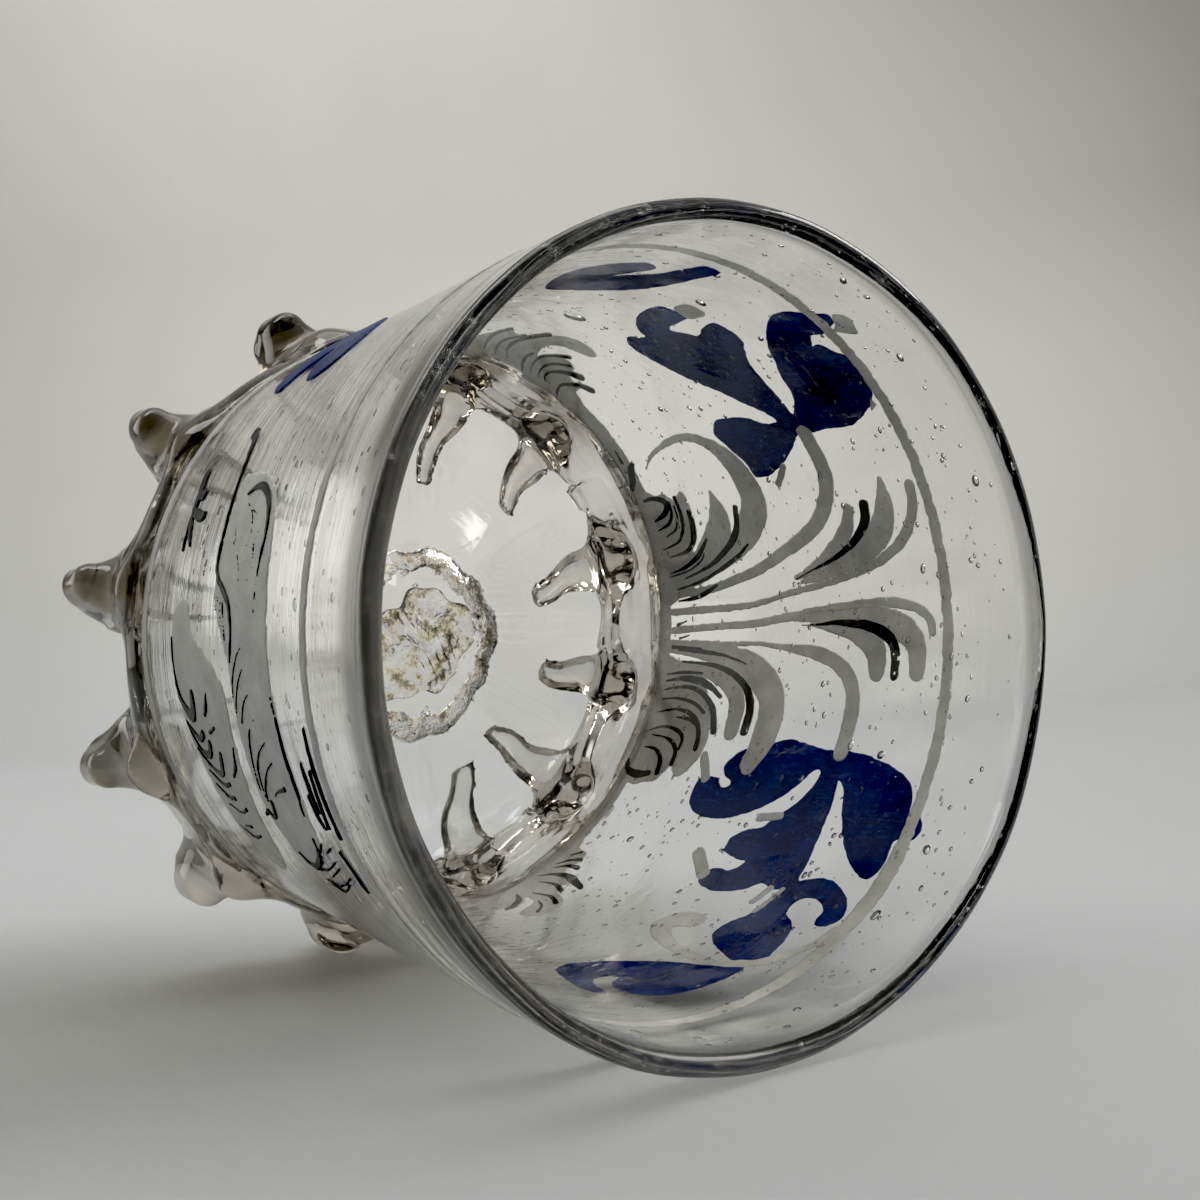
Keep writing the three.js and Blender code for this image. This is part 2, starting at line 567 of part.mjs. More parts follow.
const birdBack = stroke(
  [[154, 0.482], [160, 0.505], [165, 0.508], [170, 0.507], [172.5, 0.52], [174.5, 0.56], [176, 0.6],
    [178.5, 0.625], [181.5, 0.63], [185, 0.615]],
  [0.03, 0.01, 0.008, 0.012, 0.018, 0.022, 0.02, 0.012],
);
const birdBreast = stroke(
  [[160.5, 0.595], [159.6, 0.64], [160.5, 0.69], [163, 0.735], [166, 0.758], [170.5, 0.765]],
  [0.01, 0.018, 0.024, 0.026, 0.026, 0.018],
);
const birdTail = stroke(
  [[209.5, 0.815], [211.5, 0.8], [213.8, 0.765], [214.8, 0.72], [214.6, 0.69], [213.5, 0.675]],
  [0.012, 0.018, 0.022, 0.022, 0.016, 0.01],
);
const birdCrook = stroke(
  [[190.5, 0.365], [192.5, 0.362], [194, 0.345], [194, 0.315], [192, 0.275], [189, 0.253], [184, 0.245]],
  [0.024, 0.032, 0.032, 0.024, 0.014, 0.008],
);
const birdClaw = [
  stroke([[154.5, 0.205], [157, 0.225], [160, 0.235], [162, 0.24]], [0.036, 0.036, 0.03, 0.026]),
  stroke([[157.5, 0.23], [158.3, 0.265]], [0.03, 0.028]),
  stroke([[161, 0.24], [162, 0.29], [162.3, 0.325]], [0.024, 0.03, 0.026]),
  stroke([[162, 0.235], [165, 0.252], [167.5, 0.283]], [0.022, 0.024, 0.02]),
];

// The finished object

const group = new THREE.Group();
const glass = new THREE.Group();
const enamel = new THREE.Group();
group.add(glass, enamel);

function place(parent, name, geometry, material) {
  const mesh = new THREE.Mesh(geometry, material);
  mesh.name = name;
  parent.add(mesh);
}

const bowlProfile = [...outerKick, ...outerHeel, ...bead, innerNeck, ...innerHeel, ...innerKick];
place(glass, "bowl", lathe(bowlProfile), clearGlass);
place(glass, "toe_trail", makeTrail(), smokyGlass);
place(glass, "pontil_scar", makeScar(), roughGlass);
place(enamel, "upper_line", makeLine(upperLineHeight, upperLineWidth, 0), whiteEnamel);
place(enamel, "lower_line", makeLine(lowerLineHeight, lowerLineWidth, 2), whiteEnamel);

const firstLayer = paintLayer(0);
const secondLayer = paintLayer(1);
const whiteMotifs = {
  left_scroll: [leftStem, leftScroll],
  left_fan: [leftFan, leftLeaf],
  inner_stem: [innerStem],
  inner_lobe: [innerLobe],
  inner_hook: [innerHook],
  outer_stem: [outerStem],
  outer_lobe: [outerLobe],
  outer_leaf: [outerLeaf],
  right_scroll: [rightStem, rightScroll, rightLeaf, rightFan],
  right_side_fan: [rightSideFan],
  left_side_fan: [leftSideFan],
  left_curl: [leftCurl],
  bird_body: [birdBody],
  bird_wing: [birdWing],
};
const blueMotifs = {
  right_flower: [rightFlower],
  left_flower: [leftFlower],
  left_blue_leaf: [leftBlueLeaf],
  right_blue_leaf: [rightBlueLeaf],
  far_blue_leaf: [farBlueLeaf],
};
const blackMotifs = {
  left_vein: [leftVein],
  inner_vein: [innerVein],
  outer_vein: [outerVein],
  right_vein: [rightVein],
  bird_back: [birdBack],
  bird_breast: [birdBreast],
  bird_tail: [birdTail],
  bird_crook: [birdCrook],
  bird_claw: birdClaw,
};

function paint(motifs, layer, material) {
  for (const [name, cutters] of Object.entries(motifs)) {
    place(enamel, name, toGeometry(layer.intersect(joined(cutters))), material);
  }
}
paint(whiteMotifs, firstLayer, whiteEnamel);
paint(blueMotifs, secondLayer, blueEnamel);
paint(blackMotifs, secondLayer, blackEnamel);

export default group;
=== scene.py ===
"""Enamelled footed glass bowl lying on its side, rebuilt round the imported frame.

The bowl, trail and pontil scar are fine glass meshes. Every painted motif is a thin closed layer
of enamel, cut from a distance field of its brush strokes, fused to the outside of the wall.
Lengths are millimetres until a mesh is made, angles on the wall are degrees round the axis.
"""
import math
import bpy
import numpy as np
from mathutils import Matrix, Vector


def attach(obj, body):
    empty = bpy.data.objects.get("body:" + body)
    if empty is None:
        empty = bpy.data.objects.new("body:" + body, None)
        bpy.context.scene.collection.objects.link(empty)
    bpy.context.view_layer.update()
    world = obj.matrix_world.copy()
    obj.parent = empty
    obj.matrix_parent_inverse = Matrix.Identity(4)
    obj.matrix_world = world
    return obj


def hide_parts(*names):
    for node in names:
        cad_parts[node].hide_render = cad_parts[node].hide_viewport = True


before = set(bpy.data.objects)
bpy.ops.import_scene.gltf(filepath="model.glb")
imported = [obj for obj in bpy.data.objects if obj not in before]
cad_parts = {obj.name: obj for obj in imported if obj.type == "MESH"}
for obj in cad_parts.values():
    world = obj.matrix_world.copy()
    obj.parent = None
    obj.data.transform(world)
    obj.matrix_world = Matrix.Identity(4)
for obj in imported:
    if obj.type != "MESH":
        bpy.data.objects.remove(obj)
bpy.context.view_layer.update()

MM = 0.001
rng = np.random.default_rng(7)

# Sizes of the bowl, as in the CAD but for a finer bead
RIM_RADIUS, RIM_HEIGHT, BEAD = 45.0, 96.0, 1.15
WALL, FLOOR = 1.95, 3.5
FOOT_RADIUS, FOOT_HEIGHT = 42.65, 20.0
REST_RADIUS, REST_HEIGHT, KICK_RISE = 33.0, 10.5, 7.5
LOWER_LINE, UPPER_LINE = 23.9, 81.3
BAND = UPPER_LINE - LOWER_LINE
ARC_RADIUS = 43.55          # turns degrees into millimetres of arc on the painted band


def wall_radius(z):
    """Outside of the wall."""
    return FOOT_RADIUS + (z - FOOT_HEIGHT) * (RIM_RADIUS - FOOT_RADIUS) / (RIM_HEIGHT - FOOT_HEIGHT)


def wobble(angle, z):
    """The hand-blown wall's slow waves, in millimetres."""
    return (0.07 * np.sin(2 * angle + 0.6 + z * 0.03) + 0.05 * np.sin(3 * angle - 1.1 - z * 0.05)
            + 0.035 * np.sin(5 * angle + z * 0.11) + 0.02 * np.sin(z * 0.42 + 2 * angle))


def circle(steps):
    """Angles of even steps once round."""
    return np.arange(steps) * 2 * math.pi / steps


def turned(angle, radius, z):
    """Points at these angles round the axis, radii and heights."""
    return np.stack([radius * np.cos(angle), radius * np.sin(angle), z], -1)


def between(value, start, end, low=0):
    """How far a value has gone from start to end, kept from low to 1."""
    return np.clip((value - start) / (end - start), low, 1)


def grid_faces(rows, columns, closed_rows, closed_columns):
    """Faces of a grid of points, closed on itself along its rows, its columns or both."""
    i, j = np.indices((rows - (not closed_rows), columns - (not closed_columns)))
    k, m = (i + 1) % rows, (j + 1) % columns
    return np.stack([i * columns + j, k * columns + j, k * columns + m, i * columns + m], -1).reshape(-1, 4)


def make_mesh(name, material, points, faces):
    mesh = bpy.data.meshes.new(name)
    points = (np.asarray(points, dtype=float) * MM).tolist()
    mesh.from_pydata(points, [], [list(map(int, face)) for face in faces])
    mesh.update()
    mesh.materials.append(material)
    mesh.shade_smooth()
    piece = bpy.data.objects.new(name, mesh)
    bpy.context.scene.collection.objects.link(piece)
    return piece


def fit(name, slot, node, points, faces, material=None):
    """A piece of the object, in place of a CAD node unless that is None."""
    piece = make_mesh(name, material or FINISH[slot], points, faces)
    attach(piece, "root")
    if node:
        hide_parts(node)


# Node materials

class Nodes:
    """Short way to write procedural shading."""

    def __init__(self, owner, output="ShaderNodeOutputMaterial", where="Object"):
        owner.use_nodes = True
        self.owner, self.tree = owner, owner.node_tree
        self.tree.nodes.clear()
        self.out = self.add(output)
        self.place = self.add("ShaderNodeTexCoord").outputs[where]

    def add(self, kind, **values):
        node = self.tree.nodes.new(kind)
        for key, value in values.items():
            setattr(node, key, value)
        return node

    def put(self, value, socket):
        """Link an output, or set a value; a colour gets its alpha here."""
        if isinstance(value, bpy.types.NodeSocket):
            self.tree.links.new(value, socket)
        else:
            socket.default_value = (*value, 1) if socket.type == "RGBA" else value

    def fill(self, node, **values):
        for key, value in values.items():
            self.put(value, node.inputs[key.replace("_", " ")])
        return node.outputs[0]

    def math(self, operation, a, b, clamp=False):
        node = self.add("ShaderNodeMath", operation=operation, use_clamp=clamp)
        self.put(a, node.inputs[0])
        self.put(b, node.inputs[1])
        return node.outputs[0]

    def times(self, a, b):
        return self.math("MULTIPLY", a, b)

    def vector(self, operation, other=(0, 0, 0), place=None):
        node = self.add("ShaderNodeVectorMath", operation=operation)
        self.put(place or self.place, node.inputs[0])
        node.inputs[1].default_value = other
        return node.outputs["Value"]

    def toward(self, direction):
        """How far a point lies towards a direction, in metres."""
        return self.vector("DOT_PRODUCT", direction)

    def scaled(self, scale, shift=(0, 0, 0)):
        return self.fill(self.add("ShaderNodeMapping"), Vector=self.place, Scale=scale, Location=shift)

    def noise(self, where, scale=1.0, detail=3.0, rough=0.55, distortion=0.0):
        return self.fill(self.add("ShaderNodeTexNoise"), Vector=where, Scale=scale, Detail=detail,
                         Roughness=rough, Distortion=distortion)

    def ramp(self, value, *stops):
        node = self.add("ShaderNodeValToRGB")
        self.put(value, node.inputs[0])
        bar = node.color_ramp.elements
        while len(bar) < len(stops):
            bar.new(0.5)
        for element, (at, colour) in zip(bar, stops):
            element.position, element.color = at, (*colour, 1)
        return node.outputs[0]

    def grey(self, value, *stops):
        return self.ramp(value, *[(at, (shade,) * 3) for at, shade in stops])

    def facing(self, power):
        """Nought where the surface faces the ray, one where it turns edge on."""
        weight = self.add("ShaderNodeLayerWeight")
        self.fill(weight, Blend=0.5)
        return self.math("POWER", weight.outputs["Facing"], power)

    def span(self, value, start, end, low=0.0, high=1.0):
        """Goes smoothly from low to high as the value goes from start to end."""
        return self.fill(self.add("ShaderNodeMapRange", interpolation_type="SMOOTHSTEP"), Value=value,
                         From_Min=start, From_Max=end, To_Min=low, To_Max=high)

    def mix(self, share, a, b):
        node = self.add("ShaderNodeMix", data_type="RGBA")
        for value, socket in ((share, 0), (a, 6), (b, 7)):
            self.put(value, node.inputs[socket])
        return node.outputs[2]

    def bump(self, height, distance, strength=1.0):
        return self.fill(self.add("ShaderNodeBump"), Height=height, Distance=distance, Strength=strength)

    def principled(self, **values):
        return self.fill(self.add("ShaderNodeBsdfPrincipled"), **values)

    def surface(self, shader):
        self.put(shader, self.out.inputs["Surface"])
        return self.owner

    def clear_where(self, share, shader, colour=(1, 1, 1)):
        """The shader, but plainly see-through where share is one."""
        mixer = self.add("ShaderNodeMixShader")
        clear = self.fill(self.add("ShaderNodeBsdfTransparent"), Color=colour)
        for value, socket in zip((share, shader, clear), mixer.inputs):
            self.put(value, socket)
        return self.surface(mixer.outputs[0])

    def lets_lamps_through(self, shader, colour):
        """Glass that a lamp's direct light passes, so what lies behind it is lit without noise."""
        return self.clear_where(self.add("ShaderNodeLightPath").outputs["Is Shadow Ray"], shader, colour)


def new_material(name):
    return Nodes(bpy.data.materials.new(name))


def glass_material(name, tint, shadow, streak=(30, 30, 620), murk=None, rough_shaded_lip=False):
    """Blown glass: cords, striae and faint smears. The trail is murky, with painted shade on its upper toes
    and at its edges; the lip is rougher on the near side, with painted shade there and on the bead.
    """
    n = new_material(name)
    slow = n.noise(n.scaled((28, 28, 60)), 1.0, 2.0)
    striae = n.noise(n.scaled(streak), 1.0, 4.0, 0.6, 0.4)
    fine = n.noise(n.scaled((90, 90, 2600), (3, 1, 2)), 1.0, 2.0, 0.5)
    height = n.math("ADD", n.math("ADD", striae, n.times(fine, 0.07)), n.times(slow, 0.6))
    colour = n.ramp(n.noise(n.scaled((40, 40, 90), (5, 5, 5)), 1.0, 2.0),
                    (0.3, tuple(c * 0.975 for c in tint)), (0.7, tint))
    smears = n.noise(n.scaled((120, 120, 260), (9, 4, 7)), 1.0, 5.0, 0.7)
    rough = n.grey(smears, (0.5, 0.0), (0.78, 0.09))
    if murk:
        # painted shade: the drawn-out toes of the upper side are darkened, and every edge gets a painted
        # dark rind where it turns edge on
        upper_shade = n.span(n.toward((-0.6, 0.8, 0)), -0.002, 0.016)
        drawn = n.span(n.vector("LENGTH", place=n.scaled((1, 1, 0))), 0.0428, 0.0448)
        colour = n.mix(n.times(upper_shade, drawn), colour, (0.12, 0.11, 0.08))
        colour = n.mix(n.times(n.facing(2.2), 0.9), colour, (0.12, 0.115, 0.09))
        absorbs = n.fill(n.add("ShaderNodeVolumeAbsorption"), Color=murk, Density=170.0)
        n.put(absorbs, n.out.inputs["Volume"])
    if rough_shaded_lip:
        # the near side of the lip is made rougher and given painted shade, and the bead all round gets
        # painted shade
        near = n.span(n.toward((-0.88, -0.47, 0)), 0.002, 0.028)
        lip = n.times(n.span(n.toward((0, 0, 1)), 0.0885, 0.0925), near)
        rough = n.math("MAXIMUM", rough, n.times(lip, 0.20))
        colour = n.mix(n.span(n.toward((0, 0, 1)), 0.0938, 0.0954, 0.0, 0.9), colour, (0.16, 0.16, 0.155))
        colour = n.mix(lip, colour, (0.36, 0.36, 0.35))
    return n.lets_lamps_through(n.principled(
        Base_Color=colour, Roughness=rough, IOR=1.5, Normal=n.bump(height, 0.03 * MM),
        Transmission_Weight=1.0), shadow)


def enamel_material(name, dark, pale, roughness, streak_pale=None):
    """Fired paint: brush streaks, grain, and patches where it lies thin."""
    n = new_material(name)
    patch = n.noise(n.place, 210.0, 4.0, 0.6)
    streak = n.noise(n.scaled((1500, 1500, 420), (2, 2, 2)), 1.0, 3.0, 0.6, 1.2)
    grain = n.noise(n.place, 4200.0, 3.0, 0.6)
    colour = n.mix(n.grey(patch, (0.35, 0.0), (0.68, 1.0)), dark, pale)
    if streak_pale:
        colour = n.mix(n.grey(streak, (0.54, 0.0), (0.72, 0.75)), colour, streak_pale)
    colour = n.mix(n.grey(grain, (0.3, 0.22), (0.6, 0.0)), colour, [c * 0.55 for c in dark])
    height = n.math("ADD", n.times(streak, 0.7), n.times(grain, 0.3))
    rough = n.grey(patch, (0.3, roughness - 0.08), (0.7, roughness + 0.12))
    return n.surface(n.principled(Base_Color=colour, Roughness=rough, Normal=n.bump(height, 0.05 * MM, 0.8),
                                  Specular_IOR_Level=0.2))


def scar_material():
    """Broken glass: crumbs, and brown dirt in patches."""
    n = new_material("rough_glass")
    crumbs = n.noise(n.place, 380.0, 4.0, 0.55)
    colour = n.ramp(n.noise(n.place, 420.0, 4.0, 0.65), (0.38, (0.20, 0.17, 0.12)),
                    (0.45, (0.90, 0.80, 0.58)), (0.50, (0.98, 0.975, 0.96)))
    return n.lets_lamps_through(n.principled(
        Base_Color=colour, Roughness=n.grey(crumbs, (0.45, 0.0), (0.75, 0.16)), IOR=1.5,
        Normal=n.bump(crumbs, 0.7 * MM), Transmission_Weight=1.0), (0.8, 0.77, 0.7))


FINISH = {
    "clear_glass": glass_material("clear_glass", (0.985, 0.985, 0.975), (0.80, 0.795, 0.78), rough_shaded_lip=True),
    "smoky_glass": glass_material("smoky_glass", (0.965, 0.96, 0.945), (0.58, 0.56, 0.52), (60, 60, 260),
                                  murk=(0.80, 0.78, 0.74)),
    "white_enamel": enamel_material("white_enamel", (0.56, 0.56, 0.54), (0.76, 0.76, 0.73), 0.5),
    "blue_enamel": enamel_material("blue_enamel", (0.0005, 0.012, 0.09), (0.002, 0.028, 0.185), 0.42,
                                   (0.012, 0.075, 0.36)),
    "black_enamel": enamel_material("black_enamel", (0.010, 0.010, 0.011), (0.028, 0.028, 0.029), 0.34),
    "rough_glass": scar_material(),
}


# Bowl

# Angle, reach beyond the usual, thickness factor, ball radius, ball place, crease, lean along the rim
TOES = [
    (15, 0.0, 1.05, 2.3, 43.0, 3.0, 0.10),
    (50, -0.4, 0.95, 2.2, 42.8, 3.2, -0.08),
    (75, 0.0, 0.92, 2.3, 43.0, 2.8, 0.05),
    (112, 0.2, 1.04, 2.3, 43.0, 2.8, -0.05),
    (143, -0.4, 1.00, 2.3, 42.8, 3.2, 0.06),
    (173, -0.9, 1.00, 2.4, 43.0, 3.0, -0.04),
    (205, 0.0, 1.06, 2.8, 44.7, 0.8, 0.05),
    (232, -0.4, 1.22, 2.8, 44.5, 0.5, 0.0),
    (260, -0.6, 1.22, 2.8, 44.3, 0.6, -0.06),
    (287, -0.2, 1.05, 2.7, 44.0, 1.2, 0.04),
    (318, 0.0, 1.08, 2.5, 43.7, 1.6, -0.05),
    (346, -0.4, 0.95, 2.3, 43.2, 2.6, 0.08),
]


def from_toe(angle, toe):
    """Turn from a toe in degrees, in radians either way."""
    return (angle - math.radians(toe) + math.pi) % (2 * math.pi) - math.pi


def pinched(angle):
    """How far the pincers drew the soft heel out with each toe, from 0 to 1."""
    return sum(np.exp(-(from_toe(angle, toe[0]) / 0.15) ** 2) for toe in TOES)


def kick(share, lift=0.0):
    """Radius and height on the kicked-up floor, from its middle to where it rests."""
    return REST_RADIUS * share, REST_HEIGHT + lift + KICK_RISE * (1 + math.cos(math.pi * share)) / 2


def heel(turn, inset=0.0, lift=0.0):
    """Radius and height on the round of the heel, from the wall down to where it rests."""
    return (REST_RADIUS + (FOOT_RADIUS - inset - REST_RADIUS) * math.cos(turn),
            FOOT_HEIGHT - (FOOT_HEIGHT - REST_HEIGHT - lift) * math.sin(turn))


def bowl_mesh(steps=288):
    """Turned from the axis under the floor, up the outside, over the bead and down inside."""
    outer = [kick(s) for s in np.linspace(0, 1, 22)[1:-1]]
    outer += [heel(t) for t in np.linspace(math.pi / 2, 0, 16)]
    outer += [(wall_radius(z), z) for z in np.linspace(21, 93.8, 66)]
    outer += [(RIM_RADIUS - BEAD + BEAD * math.cos(t), RIM_HEIGHT - BEAD + BEAD * math.sin(t))
              for t in np.linspace(math.radians(-20), math.radians(195), 26)]
    inner = [(wall_radius(z) - WALL, z) for z in np.linspace(93.6, 24, 62)]
    inner += [heel(t, WALL, FLOOR) for t in np.linspace(0, math.pi / 2, 16)[1:]]
    inner += [kick(s, FLOOR) for s in np.linspace(1, 0, 22)[1:-1]]
    profile = np.array(outer + inner)
    rows = len(profile)
    a, r = np.meshgrid(circle(steps), profile[:, 0], indexing="ij")
    z = np.broadcast_to(profile[:, 1], a.shape).copy()
    r = r + wobble(a, z) * between(z, FOOT_HEIGHT, FOOT_HEIGHT + 12) * between(z, 95.5, 90.5, 0.3)
    # inside, the heel is drawn out with the toes
    drawn = (np.arange(rows) >= len(outer)) * (pinched(a) - 0.35)
    r += drawn * 2.2 * np.exp(-((z - 16.5) / 4.0) ** 2) * between(r, 27, 35)
    z -= drawn * 1.1 * between(r, 25, 35) * between(z, 22, 17)
    # the lip runs a little out of true
    lip = between(z, 90, 95)
    z += lip * (0.10 * np.sin(a * 2 + 1) + 0.05 * np.sin(a * 7) + 0.035 * np.sin(a * 13 + 2)) - 0.12 * lip
    r += lip * (0.035 * np.sin(a * 9 + z) + 0.02 * np.sin(a * 23 + 1))
    points = np.vstack([turned(a, r, z).reshape(-1, 3), [[0, 0, kick(0)[1]], [0, 0, kick(0, FLOOR)[1]]]])
    under, over = len(points) - 2, len(points) - 1
    faces = grid_faces(steps, rows, True, False).tolist()
    for i in range(steps):
        here, there = i * rows, (i + 1) % steps * rows
        faces += [[here, under, there], [here + rows - 1, there + rows - 1, over]]
    return points, faces


fit("glass_bowl", "clear_glass", "bowl", *bowl_mesh())


# Meshes from fields

def surface_nets(field, origin, step):
    """Closed mesh where the field is below zero, one vertex a cell, faces turned outwards."""
    ends = slice(None, -1), slice(1, None)
    # a chessboard of inside and outside on a cell's side would leave an edge shared by four faces
    for axis in (0, 1, 2) * 4:
        corner = []
        for part in ([ends[0], ends[0]], [ends[1], ends[0]], [ends[0], ends[1]], [ends[1], ends[1]]):
            part.insert(axis, slice(None))
            corner.append(field[tuple(part)])
        a, b, c, d = (part < 0 for part in corner)
        corner[1][a & d & ~b & ~c] = -0.02
        corner[0][b & c & ~a & ~d] = -0.02
    inside = field < 0
    corners = list(np.ndindex(2, 2, 2))
    total = sum(inside[tuple(ends[k] for k in p)].astype(np.int8) for p in corners)
    live = (total > 0) & (total < 8)
    cells = np.argwhere(live)
    number = np.full(live.shape, -1)
    number[live] = np.arange(len(cells))
    # each vertex is the mean of the places where its cell's edges cross the surface
    values = {p: field[tuple((cells + p).T)] for p in corners}
    sums, counts = np.zeros((len(cells), 3)), np.zeros(len(cells))
    for p in corners:
        for axis in range(3):
            if p[axis]:
                continue
            a, b = values[p], values[tuple(v + (i == axis) for i, v in enumerate(p))]
            cross = (a < 0) != (b < 0)
            at = np.repeat(np.array([p], float), len(cells), 0)
            at[:, axis] += np.where(cross, a / np.where(cross, a - b, 1), 0)
            sums[cross] += at[cross]
            counts += cross
    faces = []
    for axis in range(3):
        cut = [[slice(None)] * 3, [slice(None)] * 3]
        cut[0][axis], cut[1][axis] = ends
        edge = np.argwhere(inside[tuple(cut[0])] != inside[tuple(cut[1])])
        quad = []
        for shift in ((0, 0), (-1, 0), (-1, -1), (0, -1)):
            cell = edge.copy()
            cell[:, [(axis + 1) % 3, (axis + 2) % 3]] += shift
            quad.append(number[tuple(cell.T)])
        quad = np.stack(quad, -1)
        faces.append(np.where(inside[tuple(edge.T)][:, None], quad, quad[:, ::-1]))
    return origin + (cells + sums / counts[:, None]) * step, np.vstack(faces)


def largest_part(points, faces):
    """The mesh without the specks that aren't joined to its largest part."""
    label, new = None, np.arange(len(points))
    while label is None or (new != label).any():
        label, new = new, new.copy()
        np.minimum.at(new, faces.ravel(), np.repeat(label[faces].min(1), faces.shape[1]))
        new = new[new]
    main = label == np.bincount(label).argmax()
    return points[main], (np.cumsum(main) - 1)[faces[main[faces[:, 0]]]]


def smooth_min(a, b, k):
    """The smaller field, melted into the other over about k."""
    h = np.clip(0.5 + 0.5 * (b - a) / k, 0, 1)
    return b + (a - b) * h - k * h * (1 - h)


def polygon_distance(points, x, y):
    """Distance from grid points to a closed line, negative inside it."""
    best = np.full(x.shape, 1e9, np.float32)
    inside = np.zeros(x.shape, bool)
    for (ax, ay), (bx, by) in zip(points, np.roll(points, -1, 0)):
        dx, dy = bx - ax, by - ay
        t = np.clip(((x - ax) * dx + (y - ay) * dy) / max(dx * dx + dy * dy, 1e-12), 0, 1)
        best = np.minimum(best, (x - ax - t * dx) ** 2 + (y - ay - t * dy) ** 2)
        if ay != by:
            inside ^= ((ay > y) != (by > y)) & (x < ax + (y - ay) * dx / dy)
    return np.where(inside, -1, 1) * np.sqrt(best)


# Trail and toes

TOE_SPINE = np.array([(47.5, 9.6), (47.55, 4.9), (46.5, 3.15), (43.9, 6.4), (40.6, 11.6), (43.5, 11.9)])
TRAIL_STEP = 0.48
LOOK_STEP = 0.1             # of the section on which the bowl's skin is looked up
DIVE = 0.8                  # how far the trail goes under the bowl's skin


def underside(radius):
    """Height of the bowl's outer skin under its floor."""
    return REST_HEIGHT + KICK_RISE * (1 + np.cos(math.pi * np.clip(radius / REST_RADIUS, 0, 1))) / 2


def toe_field(number, turn, r, z):
    """One toe: a flattened lobe, the nub that the pincers left, and a finger drawn in under the floor."""
    _, reach, width, ball, ball_radius, crease, lean = TOES[number]
    t = turn * r - lean * (z - 9) - 0.25 * np.sin(z * 0.5 + number)
    t += between(r, 41, 23) ** 1.5 * 3.2 * math.sin(number * 1.9 + 0.6) + 0.35 * np.sin(r * 0.55 + number)
    spine = TOE_SPINE + [(reach, 0)] * len(TOE_SPINE)
    spine[3:] -= [(reach * 0.6, 0)] * 3
    thick = 2.95 + np.clip(48.0 + reach - r, 0, 8) ** 1.4 * 0.34
    lobe = np.hypot(np.maximum(polygon_distance(spine, r, z), 0), t * 2.9 / (thick * width)) - 2.9
    nub = np.sqrt((r - ball_radius - reach * 0.4) ** 2 + (t / 1.08) ** 2 + (z - 18.4) ** 2) - ball
    along = between(r, 42, 22)
    half, deep = (5.4 - 4.0 * along ** 0.8) * width, 4.5 - 3.0 * along
    drop = (z - underside(np.minimum(r, 36.0)) - 0.3) / deep
    finger = (np.hypot(t / half, drop) - 1) * deep
    finger = np.maximum(np.maximum(finger, r - 43.0), 23.4 + 2.4 * math.sin(number * 2.4) - r)
    return smooth_min(smooth_min(lobe, nub, crease + 0.6), finger, 1.6)


def trail_field():
    side = np.arange(-53.0, 53.0 + TRAIL_STEP, TRAIL_STEP)
    up = np.arange(-0.8, 26.0, TRAIL_STEP)
    x, y, z = np.meshgrid(side, side, up, indexing="ij")
    r, a = np.hypot(x, y), np.arctan2(y, x)
    # distance outside the bowl's own skin, on a fine section, then looked up
    rr, zz = np.meshgrid(np.arange(20, 76, LOOK_STEP), np.arange(-2, 28, LOOK_STEP), indexing="ij")
    skin = [(0.0, 60.0), (0.0, 10.0)] + [kick(s) for s in np.linspace(0.5, 1, 12)[:-1]]
    skin += [heel(t) for t in np.linspace(math.pi / 2, 0, 20)] + [(wall_radius(40), 40.0), (44.0, 60.0)]
    outside = polygon_distance(np.array(skin), rr, zz)
    # the thread's thickness round the heel, thinning to nothing at both edges
    rise = np.interp(zz, [11.6, 12.3, 13.6, 15.4, 19.0, 21.5, 22.9, 23.5],
                     [-1.2, 0.2, 1.1, 1.7, 1.6, 1.0, 0.4, -1.2])
    i = np.clip((r - 20) / LOOK_STEP, 0, rr.shape[0] - 1.01)
    j = np.clip((z + 2) / LOOK_STEP, 0, rr.shape[1] - 1.01)
    i0, j0 = i.astype(int), j.astype(int)
    fi, fj = i - i0, j - j0

    def look(table):
        return ((table[i0, j0] * (1 - fi) + table[i0 + 1, j0] * fi) * (1 - fj)
                + (table[i0, j0 + 1] * (1 - fi) + table[i0 + 1, j0 + 1] * fi) * fj)

    clear = look(outside)
    field = np.maximum(look(outside - rise), 40.6 - 1.6 * pinched(a) - r)
    field += 0.12 * np.sin(a * 12 + 1.0) + 0.10 * np.sin(a * 7 + z * 0.3)
    for number, toe in enumerate(TOES):
        turn = from_toe(a, toe[0])
        near = (np.abs(turn) < 0.36) & (r > 19)
        field[near] = smooth_min(field[near], toe_field(number, turn[near], r[near], z[near]), 5.0)
    field += 0.28 * np.sin(x * 0.31 + 1.3 * np.sin(y * 0.23)) * np.sin(y * 0.37 + z * 0.29) * (r < 43)
    # fused to the bowl: it dives under the bowl's own skin
    field = np.maximum(smooth_min(field - DIVE, clear, 1.0) + DIVE + 0.15, -(clear + DIVE))
    # no slivers left on the wall above it
    field += 0.15 * np.clip(z - 23.0, 0, None)
    return field, (side[0], side[0], up[0])


fit("glass_toe_trail", "smoky_glass", "toe_trail", *largest_part(*surface_nets(*trail_field(), TRAIL_STEP)))


# Pontil scar

SCAR_X, SCAR_Y = -0.4, -3.0
SCAR_RING, SHARDS = 12.3, 90


def on_scar(radius, angle):
    """Place under the floor, from the middle of the scar, and the skin's height there."""
    x, y = SCAR_X + radius * np.cos(angle), SCAR_Y + radius * np.sin(angle)
    return x, y, underside(np.hypot(x, y))


